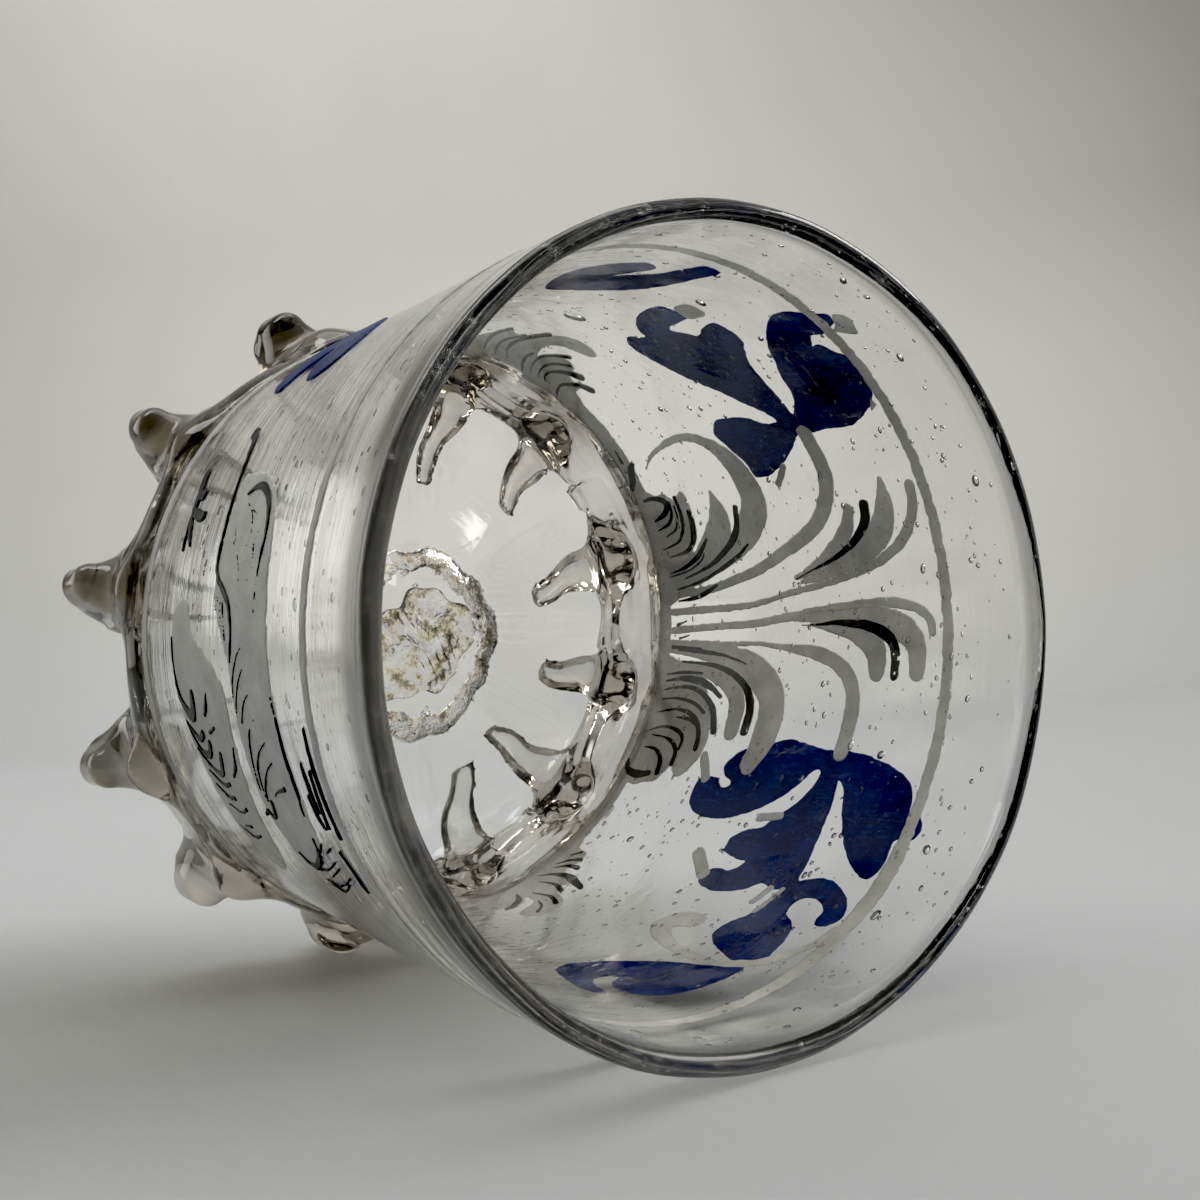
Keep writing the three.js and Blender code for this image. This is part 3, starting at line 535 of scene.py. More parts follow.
def scar_mesh():
    """A ragged ring, a fractured middle, and splinters of glass standing on both."""
    # the ring
    steps, across = 220, 9
    angle, around = circle(steps), circle(across)
    ragged = np.sin(5 * angle + 1) + 0.7 * np.sin(11 * angle) + 0.5 * np.sin(17 * angle + 2)
    breadth = 3.6 + 0.6 * np.sin(3 * angle) + 0.12 * rng.standard_normal(steps)
    depth = 0.85 + 0.22 * np.sin(angle * 9) + 0.16 * rng.random(steps)
    shake = rng.standard_normal((steps, 1 + 2 * across))
    middle = SCAR_RING * (1 + 0.045 * ragged / 1.4) + 0.05 * shake[:, 0]
    radius = middle[:, None] + breadth[:, None] / 2 * np.cos(around) * (1 + 0.05 * shake[:, 1::2])
    lift = depth[:, None] * np.sin(around) * (1 + 0.30 * shake[:, 2::2] * (np.sin(around) < 0))
    x, y, skin = on_scar(radius, angle[:, None])
    points = np.stack([x, y, skin - 0.25 + lift * np.where(lift > 0, 0.5, 1.5)], -1).reshape(-1, 3).tolist()
    faces = grid_faces(steps, across, True, True)[:, ::-1].tolist()
    # the fractured middle: a thin lumpy plate, its back inside the floor's glass
    rings, spokes, first = 16, 110, len(points)
    turns = circle(spokes)
    edge = 8.2 + 1.1 * np.sin(2 * turns + 0.5) + 0.7 * np.sin(5 * turns) + 0.35 * np.sin(11 * turns + 1)
    for front, order in ((False, range(1, rings + 1)), (True, range(rings, 0, -1))):
        for share in (number / rings for number in order):
            x, y, skin = on_scar(edge * share, turns)
            lumps = (0.45 * np.sin(x * 0.5 + y * 0.35 + 1.6 * np.sin(y * 0.5))
                     + 0.26 * np.sin(y * 1.3 + np.sin(x * 0.9) + 1)
                     + 0.16 * np.sin(x * 4.1 + y * 2.3) + 0.09 * rng.standard_normal(spokes))
            down = (0.3 + np.maximum(lumps, -0.5)) * min(1.0, (1.06 - share) * 4)
            points += np.stack([x, y, skin + (-down if front else 0.5)], -1).tolist()
    faces += (first + grid_faces(2 * rings, spokes, False, True)).tolist()
    hub, last = len(points), first + (2 * rings - 1) * spokes
    points += [(SCAR_X, SCAR_Y, underside(3.03) + 0.5), (SCAR_X, SCAR_Y, underside(3.03) - 0.4)]
    for j in range(spokes):
        k = (j + 1) % spokes
        faces += [[hub, first + j, first + k], [hub + 1, last + k, last + j]]
    # the splinters are small octahedra
    shard = np.vstack([np.eye(3)[k] * sign for k in range(3) for sign in (1, -1)])
    shard_faces = [(0, 2, 4), (2, 1, 4), (1, 3, 4), (3, 0, 4), (2, 0, 5), (1, 2, 5), (3, 1, 5), (0, 3, 5)]
    for _ in range(SHARDS):
        turn = rng.random() * 2 * math.pi
        x, y, skin = on_scar(11.3 + rng.normal(0, 1.15), turn)
        size = rng.uniform(0.15, 0.7) * rng.uniform([0.6, 0.5, 0.5], [1.5, 1.2, 1.0])
        basis = np.linalg.qr(rng.standard_normal((3, 3)))[0]
        basis *= np.sign(np.linalg.det(basis))
        faces += [[len(points) + k for k in f] for f in shard_faces]
        points += ((x, y, skin - 0.35) + (shard * size) @ basis.T).tolist()
    return points, faces


fit("pontil_scar_glass", "rough_glass", "pontil_scar", *scar_mesh())


# Painted layers

def catmull(points, step, closed=False):
    """Smooth curve through points, resampled about every step."""
    p = np.asarray(points, dtype=float)
    p = np.vstack([p[-1], p, p[:2]] if closed else [2 * p[0] - p[1], p, 2 * p[-1] - p[-2]])
    out = []
    for a, b, c, d in zip(p, p[1:], p[2:], p[3:]):
        t = np.linspace(0, 1, max(2, math.ceil(np.linalg.norm(c - b) / step)), endpoint=False)[:, None]
        out.append(0.5 * (2 * b + (c - a) * t + (2 * a - 5 * b + 4 * c - d) * t ** 2
                          + (3 * b - a - 3 * c + d) * t ** 3))
    return np.vstack(out if closed else out + [p[-2]])


def on_band(line):
    """Angles in degrees and shares of the band, one after the other, as places on the unrolled wall."""
    line = np.reshape(line, (-1, 2)).astype(float)
    return np.stack([line[:, 0] * math.pi / 180 * ARC_RADIUS, LOWER_LINE + line[:, 1] * BAND], -1)


class Stroke:
    """Brush stroke: widths along it as shares of the band, then its line."""

    def __init__(self, widths, *line):
        place = on_band(line)
        curve = catmull(place, 0.2) if len(place) > 2 else np.linspace(*place, 24)
        gone = np.concatenate([[0], np.cumsum(np.linalg.norm(np.diff(curve, axis=0), axis=1))])
        widths = [widths] * 2 if np.isscalar(widths) else widths
        radius = np.interp(gone / gone[-1], np.linspace(0, 1, len(widths)), widths) * BAND / 2
        self.curve, self.radius = curve.astype(np.float32), radius.astype(np.float32)
        self.low, self.high = (curve - radius[:, None]).min(0), (curve + radius[:, None]).max(0)

    def distance(self, s, h):
        best = np.full(s.shape, 9.0, np.float32)
        for (a, b), (c, d), r0, r1 in zip(self.curve, self.curve[1:], self.radius, self.radius[1:]):
            dx, dy = c - a, d - b
            t = np.clip(((s - a) * dx + (h - b) * dy) / max(dx * dx + dy * dy, 1e-9), 0, 1)
            best = np.minimum(best, np.hypot(s - a - t * dx, h - b - t * dy) - (r0 + (r1 - r0) * t))
        return best


class Patch:
    """Painted area with a smooth outline."""

    def __init__(self, *outline):
        self.curve = catmull(on_band(outline), 0.5, closed=True).astype(np.float32)
        self.low, self.high = self.curve.min(0), self.curve.max(0)

    def distance(self, s, h):
        return polygon_distance(self.curve, s, h)


def waves(shape, cell, length):
    """Smooth random field of about this wavelength, from -1 to 1."""
    out = rng.uniform(-1, 1, [int(n * cell / length) + 4 for n in shape])
    for axis, n in enumerate(shape):
        place = np.arange(n) * cell / length + 1
        low = place.astype(int)
        t = place - low
        t = np.expand_dims(t * t * (3 - 2 * t), 1 - axis)
        out = np.take(out, low, axis) * (1 - t) + np.take(out, low + 1, axis) * t
    return out.astype(np.float32)


def paint_field(marks, cell, ragged, holes, slim):
    """Grid on the unrolled wall, and how far outside the enamel each of its points is."""
    lows = np.array([m.low for m in marks]).min(0) - 1.0
    highs = np.array([m.high for m in marks]).max(0) + 1.0
    across, up = (np.arange(low, high + cell, cell) for low, high in zip(lows, highs))
    s, h = np.meshgrid(across, up, indexing="ij")
    d = np.full(s.shape, 9.0, np.float32)
    for mark in marks:
        near = tuple(slice(*np.searchsorted(grid, [low - 0.8, high + 0.8]))
                     for grid, low, high in zip((across, up), mark.low, mark.high))
        d[near] = np.minimum(d[near], mark.distance(s[near].astype(np.float32), h[near].astype(np.float32)))
    d += slim
    d += ragged * waves(d.shape, cell, 0.9) + 0.5 * ragged * waves(d.shape, cell, 0.42)
    for _ in range(holes):
        at, height = rng.uniform(across[0], across[-1]), rng.uniform(up[0], up[-1])
        d = np.maximum(d, rng.uniform(0.10, 0.34) - np.hypot(s - at, h - height))
    return s, h, d


def enamel_mesh(marks, cell, thick, under=0.05, edge=0.35, ragged=0.0, holes=0, slim=0.0):
    """Closed layer over the marks: domed, ragged at its edge, its back sunk a little in the glass."""
    s, h, d = paint_field(marks, cell, ragged, holes, slim)
    ds, dh = np.gradient(d, cell)
    keep = (d[:-1, :-1] + d[1:, :-1] + d[:-1, 1:] + d[1:, 1:]) / 4 < 0
    # cells that touch only at a corner would leave an edge shared by four faces
    for _ in range(3):
        a, b, c, e = keep[:-1, :-1], keep[1:, :-1], keep[:-1, 1:], keep[1:, 1:]
        fall, rise = a & e & ~b & ~c, b & c & ~a & ~e
        keep[1:, :-1] |= fall
        keep[:-1, :-1] |= rise
    wide = np.pad(keep, 1)
    used = wide[:-1, :-1].astype(int) + wide[1:, :-1] + wide[:-1, 1:] + wide[1:, 1:]
    shown, rim = used > 0, (used > 0) & (used < 4)
    # the rim's vertices move onto the outline
    size = np.maximum(np.hypot(ds, dh), 0.25)
    move = np.clip(-d / size, -0.9 * cell, 0.9 * cell) * rim
    s, h = s + move * ds / size, h + move * dh / size
    dome = np.sqrt(np.clip(1 - (1 - np.clip(-d, 0, edge) / edge) ** 2, 0, 1))
    bulk = 1 + 0.16 * waves(d.shape, cell, 0.7) + 0.10 * waves(d.shape, cell, 2.4)
    bulk = thick * (0.35 + 0.65 * dome) * bulk
    angle = s / ARC_RADIUS
    inner = wall_radius(h) + wobble(angle, h) - under
    outer = inner + np.where(rim, 0.45 * (under + bulk * 0.5), under + bulk)
    points = np.vstack([turned(angle[shown], radius[shown], h[shown]) for radius in (inner, outer)])
    back = np.full(d.shape, -1)
    back[shown] = np.arange(shown.sum())
    front = back + shown.sum()
    corners = ((0, 0), (1, 0), (1, 1), (0, 1))
    i, j = np.nonzero(keep)
    faces = [np.stack([front[i + di, j + dj] for di, dj in corners], -1),
             np.stack([back[i + di, j + dj] for di, dj in corners[::-1]], -1)]
    # a low wall along every edge that has no cell beyond it
    for k, (di, dj) in enumerate(((0, -1), (1, 0), (0, 1), (-1, 0))):
        i, j = np.nonzero(keep & ~wide[1 + di:1 + di + keep.shape[0], 1 + dj:1 + dj + keep.shape[1]])
        p, q = ((i + di, j + dj) for di, dj in (corners[k], corners[(k + 1) % 4]))
        faces.append(np.stack([front[q], front[p], back[p], back[q]], -1))
    return points, np.vstack(faces)


WHITE = dict(slot="white_enamel", cell=0.24, thick=0.15, ragged=0.10, edge=0.45)
SLIPS = dict(WHITE, under=0.075)
THIN = dict(slot="white_enamel", cell=0.24, thick=0.11, ragged=0.25, edge=0.4)
BLUE = dict(slot="blue_enamel", cell=0.24, thick=0.20, ragged=0.10, edge=0.5, under=0.038)
BLACK = dict(slot="black_enamel", cell=0.12, thick=0.27, ragged=0.05, edge=0.2, under=0.09)
VEIN = dict(BLACK, slim=0.08)
QUILL = dict(BLACK, slim=0.05)


def paint(name, how, node, marks, **more):
    how = dict(how, **more)
    fit(name, how.pop("slot"), node, *enamel_mesh(marks, **how))


def ring_mesh(low_edge, high_edge):
    """Painted line all the way round, between edges given as angle and share of the band."""
    steps, rows = 720, 9
    angle = circle(steps)
    jitter = sum(0.05 * np.sin(k * angle + p) for k, p in ((37, 1), (61, 2), (103, 0), (149, 4), (211, 3)))
    low, high = (LOWER_LINE + BAND * np.interp(np.degrees(angle) % 360, edge[::2], edge[1::2], period=360)
                 for edge in (low_edge, high_edge))
    low, high = low + jitter * 0.8, high + jitter[::-1]
    loops = []
    for i in range(rows):
        t = i / (rows - 1)
        dome = math.sqrt(max(0.0, 1 - (2 * t - 1) ** 4))
        noise = 1 + 0.12 * np.sin(angle * 53 + i) + 0.08 * np.sin(angle * 29 + 2 * i)
        loops.append((t, 0.17 * dome * noise - 0.01))
    loops += [(t, -0.065) for t in np.linspace(0.92, 0.08, 5)]
    rings = []
    for t, lift in loops:
        z = low + (high - low) * t
        rings.append(turned(angle, wall_radius(z) + wobble(angle, z) + lift, z))
    return np.stack(rings, 1).reshape(-1, 3), grid_faces(steps, len(loops), True, True)


fit("upper_line_paint", "white_enamel", "upper_line", *ring_mesh(
    (0, .984, 30, .984, 60, .982, 75, .985, 120, .984, 180, .986, 240, .984, 285, .984, 315, .990,
     330, .986),
    (0, 1.014, 30, 1.014, 60, 1.012, 75, 1.016, 120, 1.015, 180, 1.016, 240, 1.014, 285, 1.018,
     315, 1.034, 330, 1.018)))
fit("lower_line_paint", "white_enamel", "lower_line", *ring_mesh(
    (0, -.030, 30, -.020, 60, -.032, 75, -.048, 100, -.03, 180, -.025, 270, -.03, 315, -.045, 340, -.035),
    (0, .022, 30, .040, 60, .045, 75, .004, 100, .02, 180, .022, 270, .02, 315, .006, 340, .016)))

# A stroke is its widths, then angle and share of the band by turns. A patch is its outline, in the
# same way. First the white scrolls, fans and stems.
paint("left_scroll_paint", WHITE, "left_scroll", [
    Stroke([.020, .020, .016, .012, .016, .034, .042, .046, .046], -4.3, .03, -4.2, .25, -3.9, .37,
        -4.4, .46, -5.2, .57, -6.7, .65, -9.3, .70, -12, .722, -15.5, .73, -20, .73, -23.4, .728),
    Stroke([.02, .03, .045, .065, .085, .09, .092, .09, .06], -5.6, .02, -6.3, .2, -7.6, .3, -9.6, .38,
        -12.3, .43, -15.5, .455, -19.5, .46, -24, .452, -28, .435),
])
paint("left_fan_paint", WHITE, "left_fan", [
    Patch(-34.5, -.01, -35.4, .09, -34.8, .112, -33, .13, -30.6, .147, -31.9, .157, -33, .175,
        -33.1, .197, -31.6, .218, -29.5, .236, -26.5, .248, -23, .249, -19.5, .235, -16.8, .217, -14, .2,
        -11.5, .178, -10.2, .15, -9.4, .1, -8.8, -.01),
    Stroke([.02, .03, .04, .05, .055, .06, .055], -8.7, .03, -9.4, .15, -10.8, .235, -13, .295,
        -16, .325, -19.5, .33, -21.8, .33),
])
paint("inner_stem_paint", WHITE, "inner_stem", [
    Stroke([.021, .021, .021, .02, .022, .03, .042, .06, .066, .045], -1.5, .03, -.6, .2, 0, .35,
        1.0, .45, 1.4, .5, 1.7, .6, 1.7, .7, 1.2, .79, -.3, .86, -2.6, .9, -5.5, .912, -8, .912),
])
paint("inner_lobe_paint", WHITE, "inner_lobe", [
    Stroke([.010, .028, .045, .06, .066, .05], 0, .57, -.4, .66, -1.3, .72, -3, .765, -5.2, .787,
        -8.2, .79),
])
paint("inner_hook_paint", WHITE, "inner_hook", [
    Stroke([.012, .018, .022, .026, .022], 2.5, .55, 3.2, .65, 3.8, .75, 3.9, .83, 3.4, .89, 2.2, .93,
        .7, .95, -1.2, .955),
])
paint("outer_stem_paint", WHITE, "outer_stem", [
    Stroke([.022, .022, .02, .016, .018, .02, .024, .028, .03], 2.5, .03, 3.5, .3, 4.4, .4, 6, .5,
        6.8, .56, 7.6, .62, 8.7, .69, 9.9, .755, 11.6, .82, 14, .88, 17.3, .925, 20.5, .95, 24.4, .962),
])
paint("outer_lobe_paint", WHITE, "outer_lobe", [
    Stroke([.012, .03, .04, .05, .06, .066, .052, .012], 8.2, .55, 9.6, .64, 11.4, .715, 13.8, .785,
        17, .84, 21, .867, 24, .878, 26.2, .882),
])
paint("outer_leaf_paint", WHITE, "outer_leaf", [
    Stroke([.012, .034, .045, .044, .03], 8.9, .53, 11.3, .62, 14.3, .685, 17.5, .73, 21.2, .757),
])
paint("right_scroll_paint", WHITE, "right_scroll", [
    Stroke([.022, .023, .024, .027, .03, .034, .042, .046, .048, .045], 6.2, .04, 7.4, .2, 9, .3, 11, .4,
        14, .5, 17.4, .6, 20.5, .66, 25, .705, 30, .724, 37, .722),
    Stroke([.02, .03, .035, .045, .062, .08, .09, .085, .066, .04, .026, .02, .014, .006], 7, .03,
        9.5, .15, 13, .26, 16.5, .345, 20.5, .41, 25, .445, 31, .44, 36, .412, 39.3, .37, 41, .32,
        40.9, .26, 39.6, .19, 37.7, .13, 35.5, .092),
    Stroke([.02, .04, .06, .085, .095, .07, .012], 8.5, .03, 12, .15, 15.5, .225, 19.5, .28, 23.5, .3,
        26, .3, 28, .298),
    Patch(5, -.01, 8, .12, 11, .2, 12.5, .2, 15.3, .155, 18, .168, 21, .188, 25, .196, 29, .19,
        28.6, .168, 27.5, .148, 28.3, .12, 29.5, .108, 28.8, .08, 29, -.01),
])
paint("left_curl_paint", WHITE, "left_curl", [
    Stroke([.015, .02, .025, .028, .028, .028, .028, .03, .032, .04, .055, .062, .05], -56, .985,
        -60, .975, -63.1, .95, -67.6, .908, -70, .858, -71.4, .808, -71.7, .742, -71.2, .667,
        -69.8, .608, -67.6, .567, -65.9, .567, -63.9, .60, -63.7, .63),
])
paint("right_side_fan_paint", WHITE, "right_side_fan", [
    Patch(55, .03, 58.5, .07, 59.5, .105, 62.5, .115, 64.5, .15, 65.5, .18, 68.5, .2, 70.5, .195,
        72.3, .135, 74, .175, 74.7, .21, 74, .243, 72.5, .258, 70, .266, 67.2, .28, 66.6, .3, 68.5, .322,
        72, .334, 75, .327, 77.5, .3, 79.6, .24, 83, .24, 85, .265, 87, .2, 89, .1, 90, -.01, 75, -.03),
])
paint("left_side_fan_paint", WHITE, "left_side_fan", [
    Patch(-53, .008, -54.8, .025, -55.4, .058, -56.4, .079, -58.7, .079, -60.3, .067, -62, .075,
        -62.4, .117, -63.1, .142, -64.8, .142, -66.4, .129, -68.4, .15, -69.2, .188, -70.6, .217,
        -73.1, .23, -75.9, .225, -78.1, .208, -78.7, .175, -77, .154, -74.2, .142, -72.8, .117,
        -72.8, .083, -73.7, .1, -75.3, .117, -77.6, .108, -79.2, .083, -80.3, .042, -79.8, -.017,
        -78, -.03, -66, -.02),
])

# Blue flowers and leaves
paint("right_flower_paint", BLUE, "right_flower", [
    Patch(36.9, .70, 37.2, .722, 37, .76, 37.1, .80, 36.9, .858, 37.1, .885, 38.3, .92, 40.5, .965,
        42.7, .984, 46, .985, 50.4, .987, 51.8, .967, 54.3, .942, 54, .923, 56, .938, 56.4, .954,
        56, .975, 56.6, 1.0, 57.9, 1.029, 59.9, 1.035, 60.7, 1.008, 62.1, .975, 63.3, .942, 63.3, .912,
        62.1, .883, 60.4, .85, 57.7, .817, 53.8, .792, 49.9, .771, 45.4, .762, 43.2, .746, 41.3, .722,
        44.3, .717, 49.9, .71, 53.8, .714, 57.1, .737, 59.1, .758, 61.6, .761, 64.3, .754, 65.8, .742,
        65.4, .704, 63.9, .662, 65.4, .637, 67.1, .612, 68.1, .625, 68.5, .658, 68.7, .692, 69.3, .704,
        72.1, .70, 74.1, .693, 75, .667, 74.8, .633, 73.8, .592, 72.1, .558, 69.9, .533, 67.7, .521,
        69.2, .479, 67.9, .454, 66, .442, 63.2, .443, 59.3, .458, 55.4, .483, 51.6, .525, 48.2, .567,
        45.4, .60, 42.7, .642, 40.7, .658, 40.3, .646, 40.9, .608, 42.4, .575, 43.3, .533, 43.5, .483,
        42.9, .454, 40.7, .429, 39.1, .433, 36, .454, 32.7, .479, 30, .488, 29.6, .504, 30, .55,
        31.6, .60, 33.8, .646, 36, .683),
])
paint("left_flower_paint", BLUE, "left_flower", [
    Patch(-23.2, .70, -23, .75, -23.3, .80, -23.9, .85, -25, .90, -26.6, .948, -28.7, .972, -30.6, .982,
        -32, .988, -32.5, 1.012, -33.7, 1.032, -35.6, 1.036, -37, 1.024, -37, 1.0, -37.7, .98,
        -38.9, .98, -41, .986, -43.7, .984, -45.6, .968, -45.6, .952, -44.5, .92, -42.2, .88,
        -39.5, .844, -36.8, .82, -34.8, .802, -32.5, .79, -30.2, .776, -28.7, .752, -29.1, .75,
        -32.9, .76, -38.3, .768, -42.2, .776, -46, .786, -48.7, .792, -48.4, .812, -47.6, .84,
        -47.3, .867, -47.8, .90, -49.5, .942, -51.4, .967, -53.7, .977, -55.6, .968, -56.7, .946,
        -56.4, .927, -55, .921, -53.7, .921, -52.3, .90, -51.6, .875, -52, .85, -52.8, .835, -54.2, .829,
        -55.9, .835, -56.9, .858, -57.6, .873, -59.2, .888, -62, .898, -65.9, .907, -68, .90,
        -69.2, .875, -69.7, .854, -69.2, .825, -68.4, .792, -67.7, .758, -66.4, .729, -64.8, .71,
        -63.1, .71, -60.9, .72, -58.7, .742, -55.9, .754, -53.1, .767, -51.7, .77, -52, .742,
        -51.4, .708, -51.7, .69, -53.7, .662, -55, .625, -55.8, .583, -55.6, .55, -54.8, .517,
        -53.1, .51, -51.4, .517, -50.6, .533, -50.6, .567, -50, .588, -48.4, .60, -47.8, .60,
        -47.7, .567, -47.3, .533, -46.4, .512, -44.2, .504, -42.6, .517, -41.2, .546, -40.3, .579,
        -38.7, .60, -36.2, .625, -33.7, .654, -30.3, .679, -27.8, .685, -27.2, .675, -27.8, .658,
        -30.3, .633, -33.1, .60, -35.9, .554, -38.1, .504, -39.8, .45, -40.6, .40, -40.6, .358,
        -40, .325, -38.7, .296, -36.4, .279, -33.7, .275, -32.3, .288, -31.7, .325, -31.9, .35,
        -33.1, .362, -33.7, .379, -33.1, .40, -32.1, .396, -31.2, .367, -29.8, .353, -28.1, .358,
        -26.4, .379, -25.1, .408, -24.2, .458, -22.8, .517, -22.2, .558, -22.6, .608, -23.2, .658),
])
paint("left_blue_leaf_paint", BLUE, "left_blue_leaf", [
    Patch(-69.8, .888, -75, .888, -80, .875, -84, .86, -87, .83, -88.8, .78, -87.8, .735, -85, .71,
        -86, .69, -88.8, .69, -90.7, .73, -91.4, .78, -92.6, .79, -94.2, .725, -92.8, .63, -90.9, .588,
        -88, .573, -84, .59, -80, .635, -77, .685, -74.5, .745, -72.5, .81, -70.8, .855),
])
paint("right_blue_leaf_paint", BLUE, "right_blue_leaf", [
    Patch(77.4, .94, 77.9, .954, 80.7, .954, 81.6, .933, 82.7, .89, 84, .842, 86, .808, 87.7, .79,
        89.3, .77, 87.1, .825, 85.7, .862, 86.8, .885, 89, .892, 90.4, .88, 92.7, .867, 96, .833,
        98.2, .783, 97.7, .70, 95.4, .633, 92.7, .625, 88.8, .642, 85.4, .67, 82.1, .717, 79.9, .775,
        78.5, .85),
])
paint("far_blue_leaf_paint", BLUE, "far_blue_leaf", [
    Patch(116, .35, 119, .47, 124, .56, 131, .62, 137, .6, 139, .52, 135, .46, 129, .43, 132, .37,
        138, .33, 136, .26, 129, .24, 121, .27),
])

# Slips of the brush: white specks that belong to no motif
paint("paint_slips", SLIPS, None, [
    Patch(54.3, 1.055, 56, 1.07, 58, 1.075, 59.5, 1.045, 57, 1.025, 56, 1.01),
    Patch(68.2, .72, 68, .75, 69.5, .765, 72, .76, 73, .74, 72.5, .71, 69, .70),
    Patch(39, .95, 40, .975, 41, .965),
    Stroke(.018, 27.8, .557, 31, .60),
    Stroke(.03, -32.3, .30, -27.8, .262),
    Stroke(.035, -52.8, .51, -48.5, .44),
    Stroke(.024, -37.3, .62, -38.3, .56),
    Stroke(.014, -51.5, .77, -57.5, .75),
    Stroke(.018, -52, .735, -55.5, .72),
])

# Black brushwork over the motifs
paint("left_vein_paint", VEIN, "left_vein", [
    Stroke([.008, .012, .018, .024, .03, .03], -8.2, .08, -8.5, .19, -9.4, .26, -11, .315, -13.5, .357,
        -17, .378, -21.6, .378),
    Stroke([.008, .016, .012, .006], -5.7, .06, -5.9, .16, -6.4, .24, -7.3, .3, -8.1, .34),
    Stroke([.014, .008], -5.1, .03, -5.2, .155),
    Stroke([.008, .012, .02, .022], -27.7, .01, -27.8, .05, -28.9, .08, -31, .1, -33, .105),
    Stroke([.006, .01, .018, .02], -24.8, .02, -25, .08, -26.2, .122, -28, .142, -30.5, .146),
    Stroke([.004, .01, .016, .016], -24.5, -.02, -22.9, .04, -22.7, .09, -23.5, .13, -25, .15, -27, .15),
    Stroke([.006, .012, .02, .022], -19.7, .01, -18.6, .085, -19.1, .145, -20.8, .185, -23.5, .208,
        -26.4, .215),
    Stroke([.006, .014, .014], -20.3, .1, -20.4, .15, -21.2, .18),
    Stroke([.006, .012, .014], -16.6, .02, -16.2, .09, -16.9, .155, -18.7, .205),
    Stroke([.008, .014, .022, .026], -14.5, .02, -13.6, .1, -14, .155, -15.5, .2, -18, .237,
        -22.3, .262),
    Stroke([.008, .02, .026, .016], -12.6, .02, -11.8, .09, -12.1, .16, -13.2, .21, -15, .255),
    Stroke([.006, .014, .008], -11.2, .02, -10.5, .09, -10.4, .17),
    Stroke([.02, .03, .025, .008], -33.5, .075, -34.2, .03, -33.4, -.02, -31, -.035),
    Stroke([.01, .006], -3.2, .06, -2.5, .1),
])
paint("inner_vein_paint", VEIN, "inner_vein", [
    Stroke([.004, .006, .012, .02, .028, .034, .03, .024], -.3, .51, 0, .6, .35, .66, .1, .73, -.7, .785,
        -2.4, .828, -5, .845, -9, .845),
    Stroke([.012, .006], -.3, .05, .6, .09),
], holes=70)
paint("outer_vein_paint", VEIN, "outer_vein", [
    Stroke([.006, .008, .014, .02, .028, .03], 8.7, .53, 10.3, .59, 12, .66, 14, .72, 16.5, .768,
        19, .798, 21.8, .808),
])
paint("right_vein_paint", VEIN, "right_vein", [
    Stroke([.008, .014, .018, .012], 4.9, .06, 5.5, .13, 6.6, .18, 8.1, .228),
    Stroke([.008, .012, .016, .01], 7.4, .06, 9.2, .17, 11.6, .26, 14, .33, 16.2, .377),
    Stroke([.008, .012, .02, .026, .02], 9.8, .1, 12, .2, 14.5, .27, 17.5, .325, 20.5, .355, 24, .369),
    Stroke([.006, .014, .02, .012], 11, .04, 12.3, .11, 14.5, .17, 17.9, .22),
    Stroke([.006, .01, .008], 10.2, .03, 11.5, .12, 13.5, .18, 15, .197),
    Stroke([.006, .014, .024, .022], 14.6, .05, 15.8, .13, 18, .165, 21, .18, 24.2, .184),
    Stroke([.006, .012, .018, .016], 16.4, .03, 17.9, .1, 20.5, .135, 24, .148, 27.8, .148),
    Stroke([.006, .014, .01], 19.3, .06, 20.9, .108, 23.5, .13, 26, .132),
    Stroke([.006, .014, .01], 20.8, .03, 22.2, .085, 24.5, .112, 27, .118),
    Stroke([.008, .018, .026, .018, .01], 23, .03, 24.5, .08, 26.3, .103, 27.7, .092, 28.3, .05,
        28, .015),
    Stroke([.02, .03, .03, .014], 31.3, -.01, 33.5, .01, 35.5, .025, 37.2, .045),
    Stroke([.016, .01], 38, .008, 41, .01),
])
paint("right_side_veins", VEIN, None, [
    Stroke([.03, .024, .014, .008, .004], 58, .13, 60.4, .105, 61.7, .06, 60.8, .02, 58, -.035),
    Stroke([.035, .028, .016, .008, .004], 62.3, .15, 64.8, .13, 66.3, .09, 65.8, .045, 63.5, .005),
    Stroke([.02, .018, .012, .008, .004], 66.5, .175, 68.5, .14, 68.8, .095, 67.2, .04, 65.5, .01),
    Stroke([.02, .018, .012, .008, .004], 69, .215, 71, .18, 71.9, .135, 70.6, .075, 68, .01),
    Stroke([.016, .012, .006], 74, .14, 73.6, .1, 72, .05, 69.5, 0),
    Stroke([.025, .022, .014, .006], 78, .29, 79.6, .23, 79.9, .17, 78.3, .1, 75.5, .045),
    Stroke([.018, .014, .006], 80.7, .235, 82.1, .175, 81, .11, 78, .03),
    Stroke([.02, .016, .006], 84.9, .258, 85.7, .208, 84.9, .15, 81.6, .05),
    Stroke([.03, .03, .02], 72.1, -.033, 74.3, -.017, 76.3, 0),
])
paint("left_side_veins", VEIN, None, [
    Stroke([.02, .03, .018, .006], -64.8, .19, -63.9, .15, -63.1, .105, -63.7, .05, -65.5, .005),
    Stroke([.012, .025, .02, .008], -78.7, .108, -76.4, .104, -74.2, .079, -73.1, .046),
    Stroke([.02, .014, .006], -67.3, .146, -66.4, .1, -67, .04),
    Stroke([.02, .014, .006], -60.1, .096, -60.3, .058, -62, .017),
    Stroke([.018, .012, .006], -57.8, .075, -58.7, .042, -60.9, .008),
    Stroke([.014, .006], -55.9, .05, -57.6, .017),
    Stroke([.018, .014, .006], -71.4, .2, -70.1, .15, -70.9, .08),
    Stroke([.014, .012, .006], -75.8, .2, -73.6, .175, -72.6, .14),
])

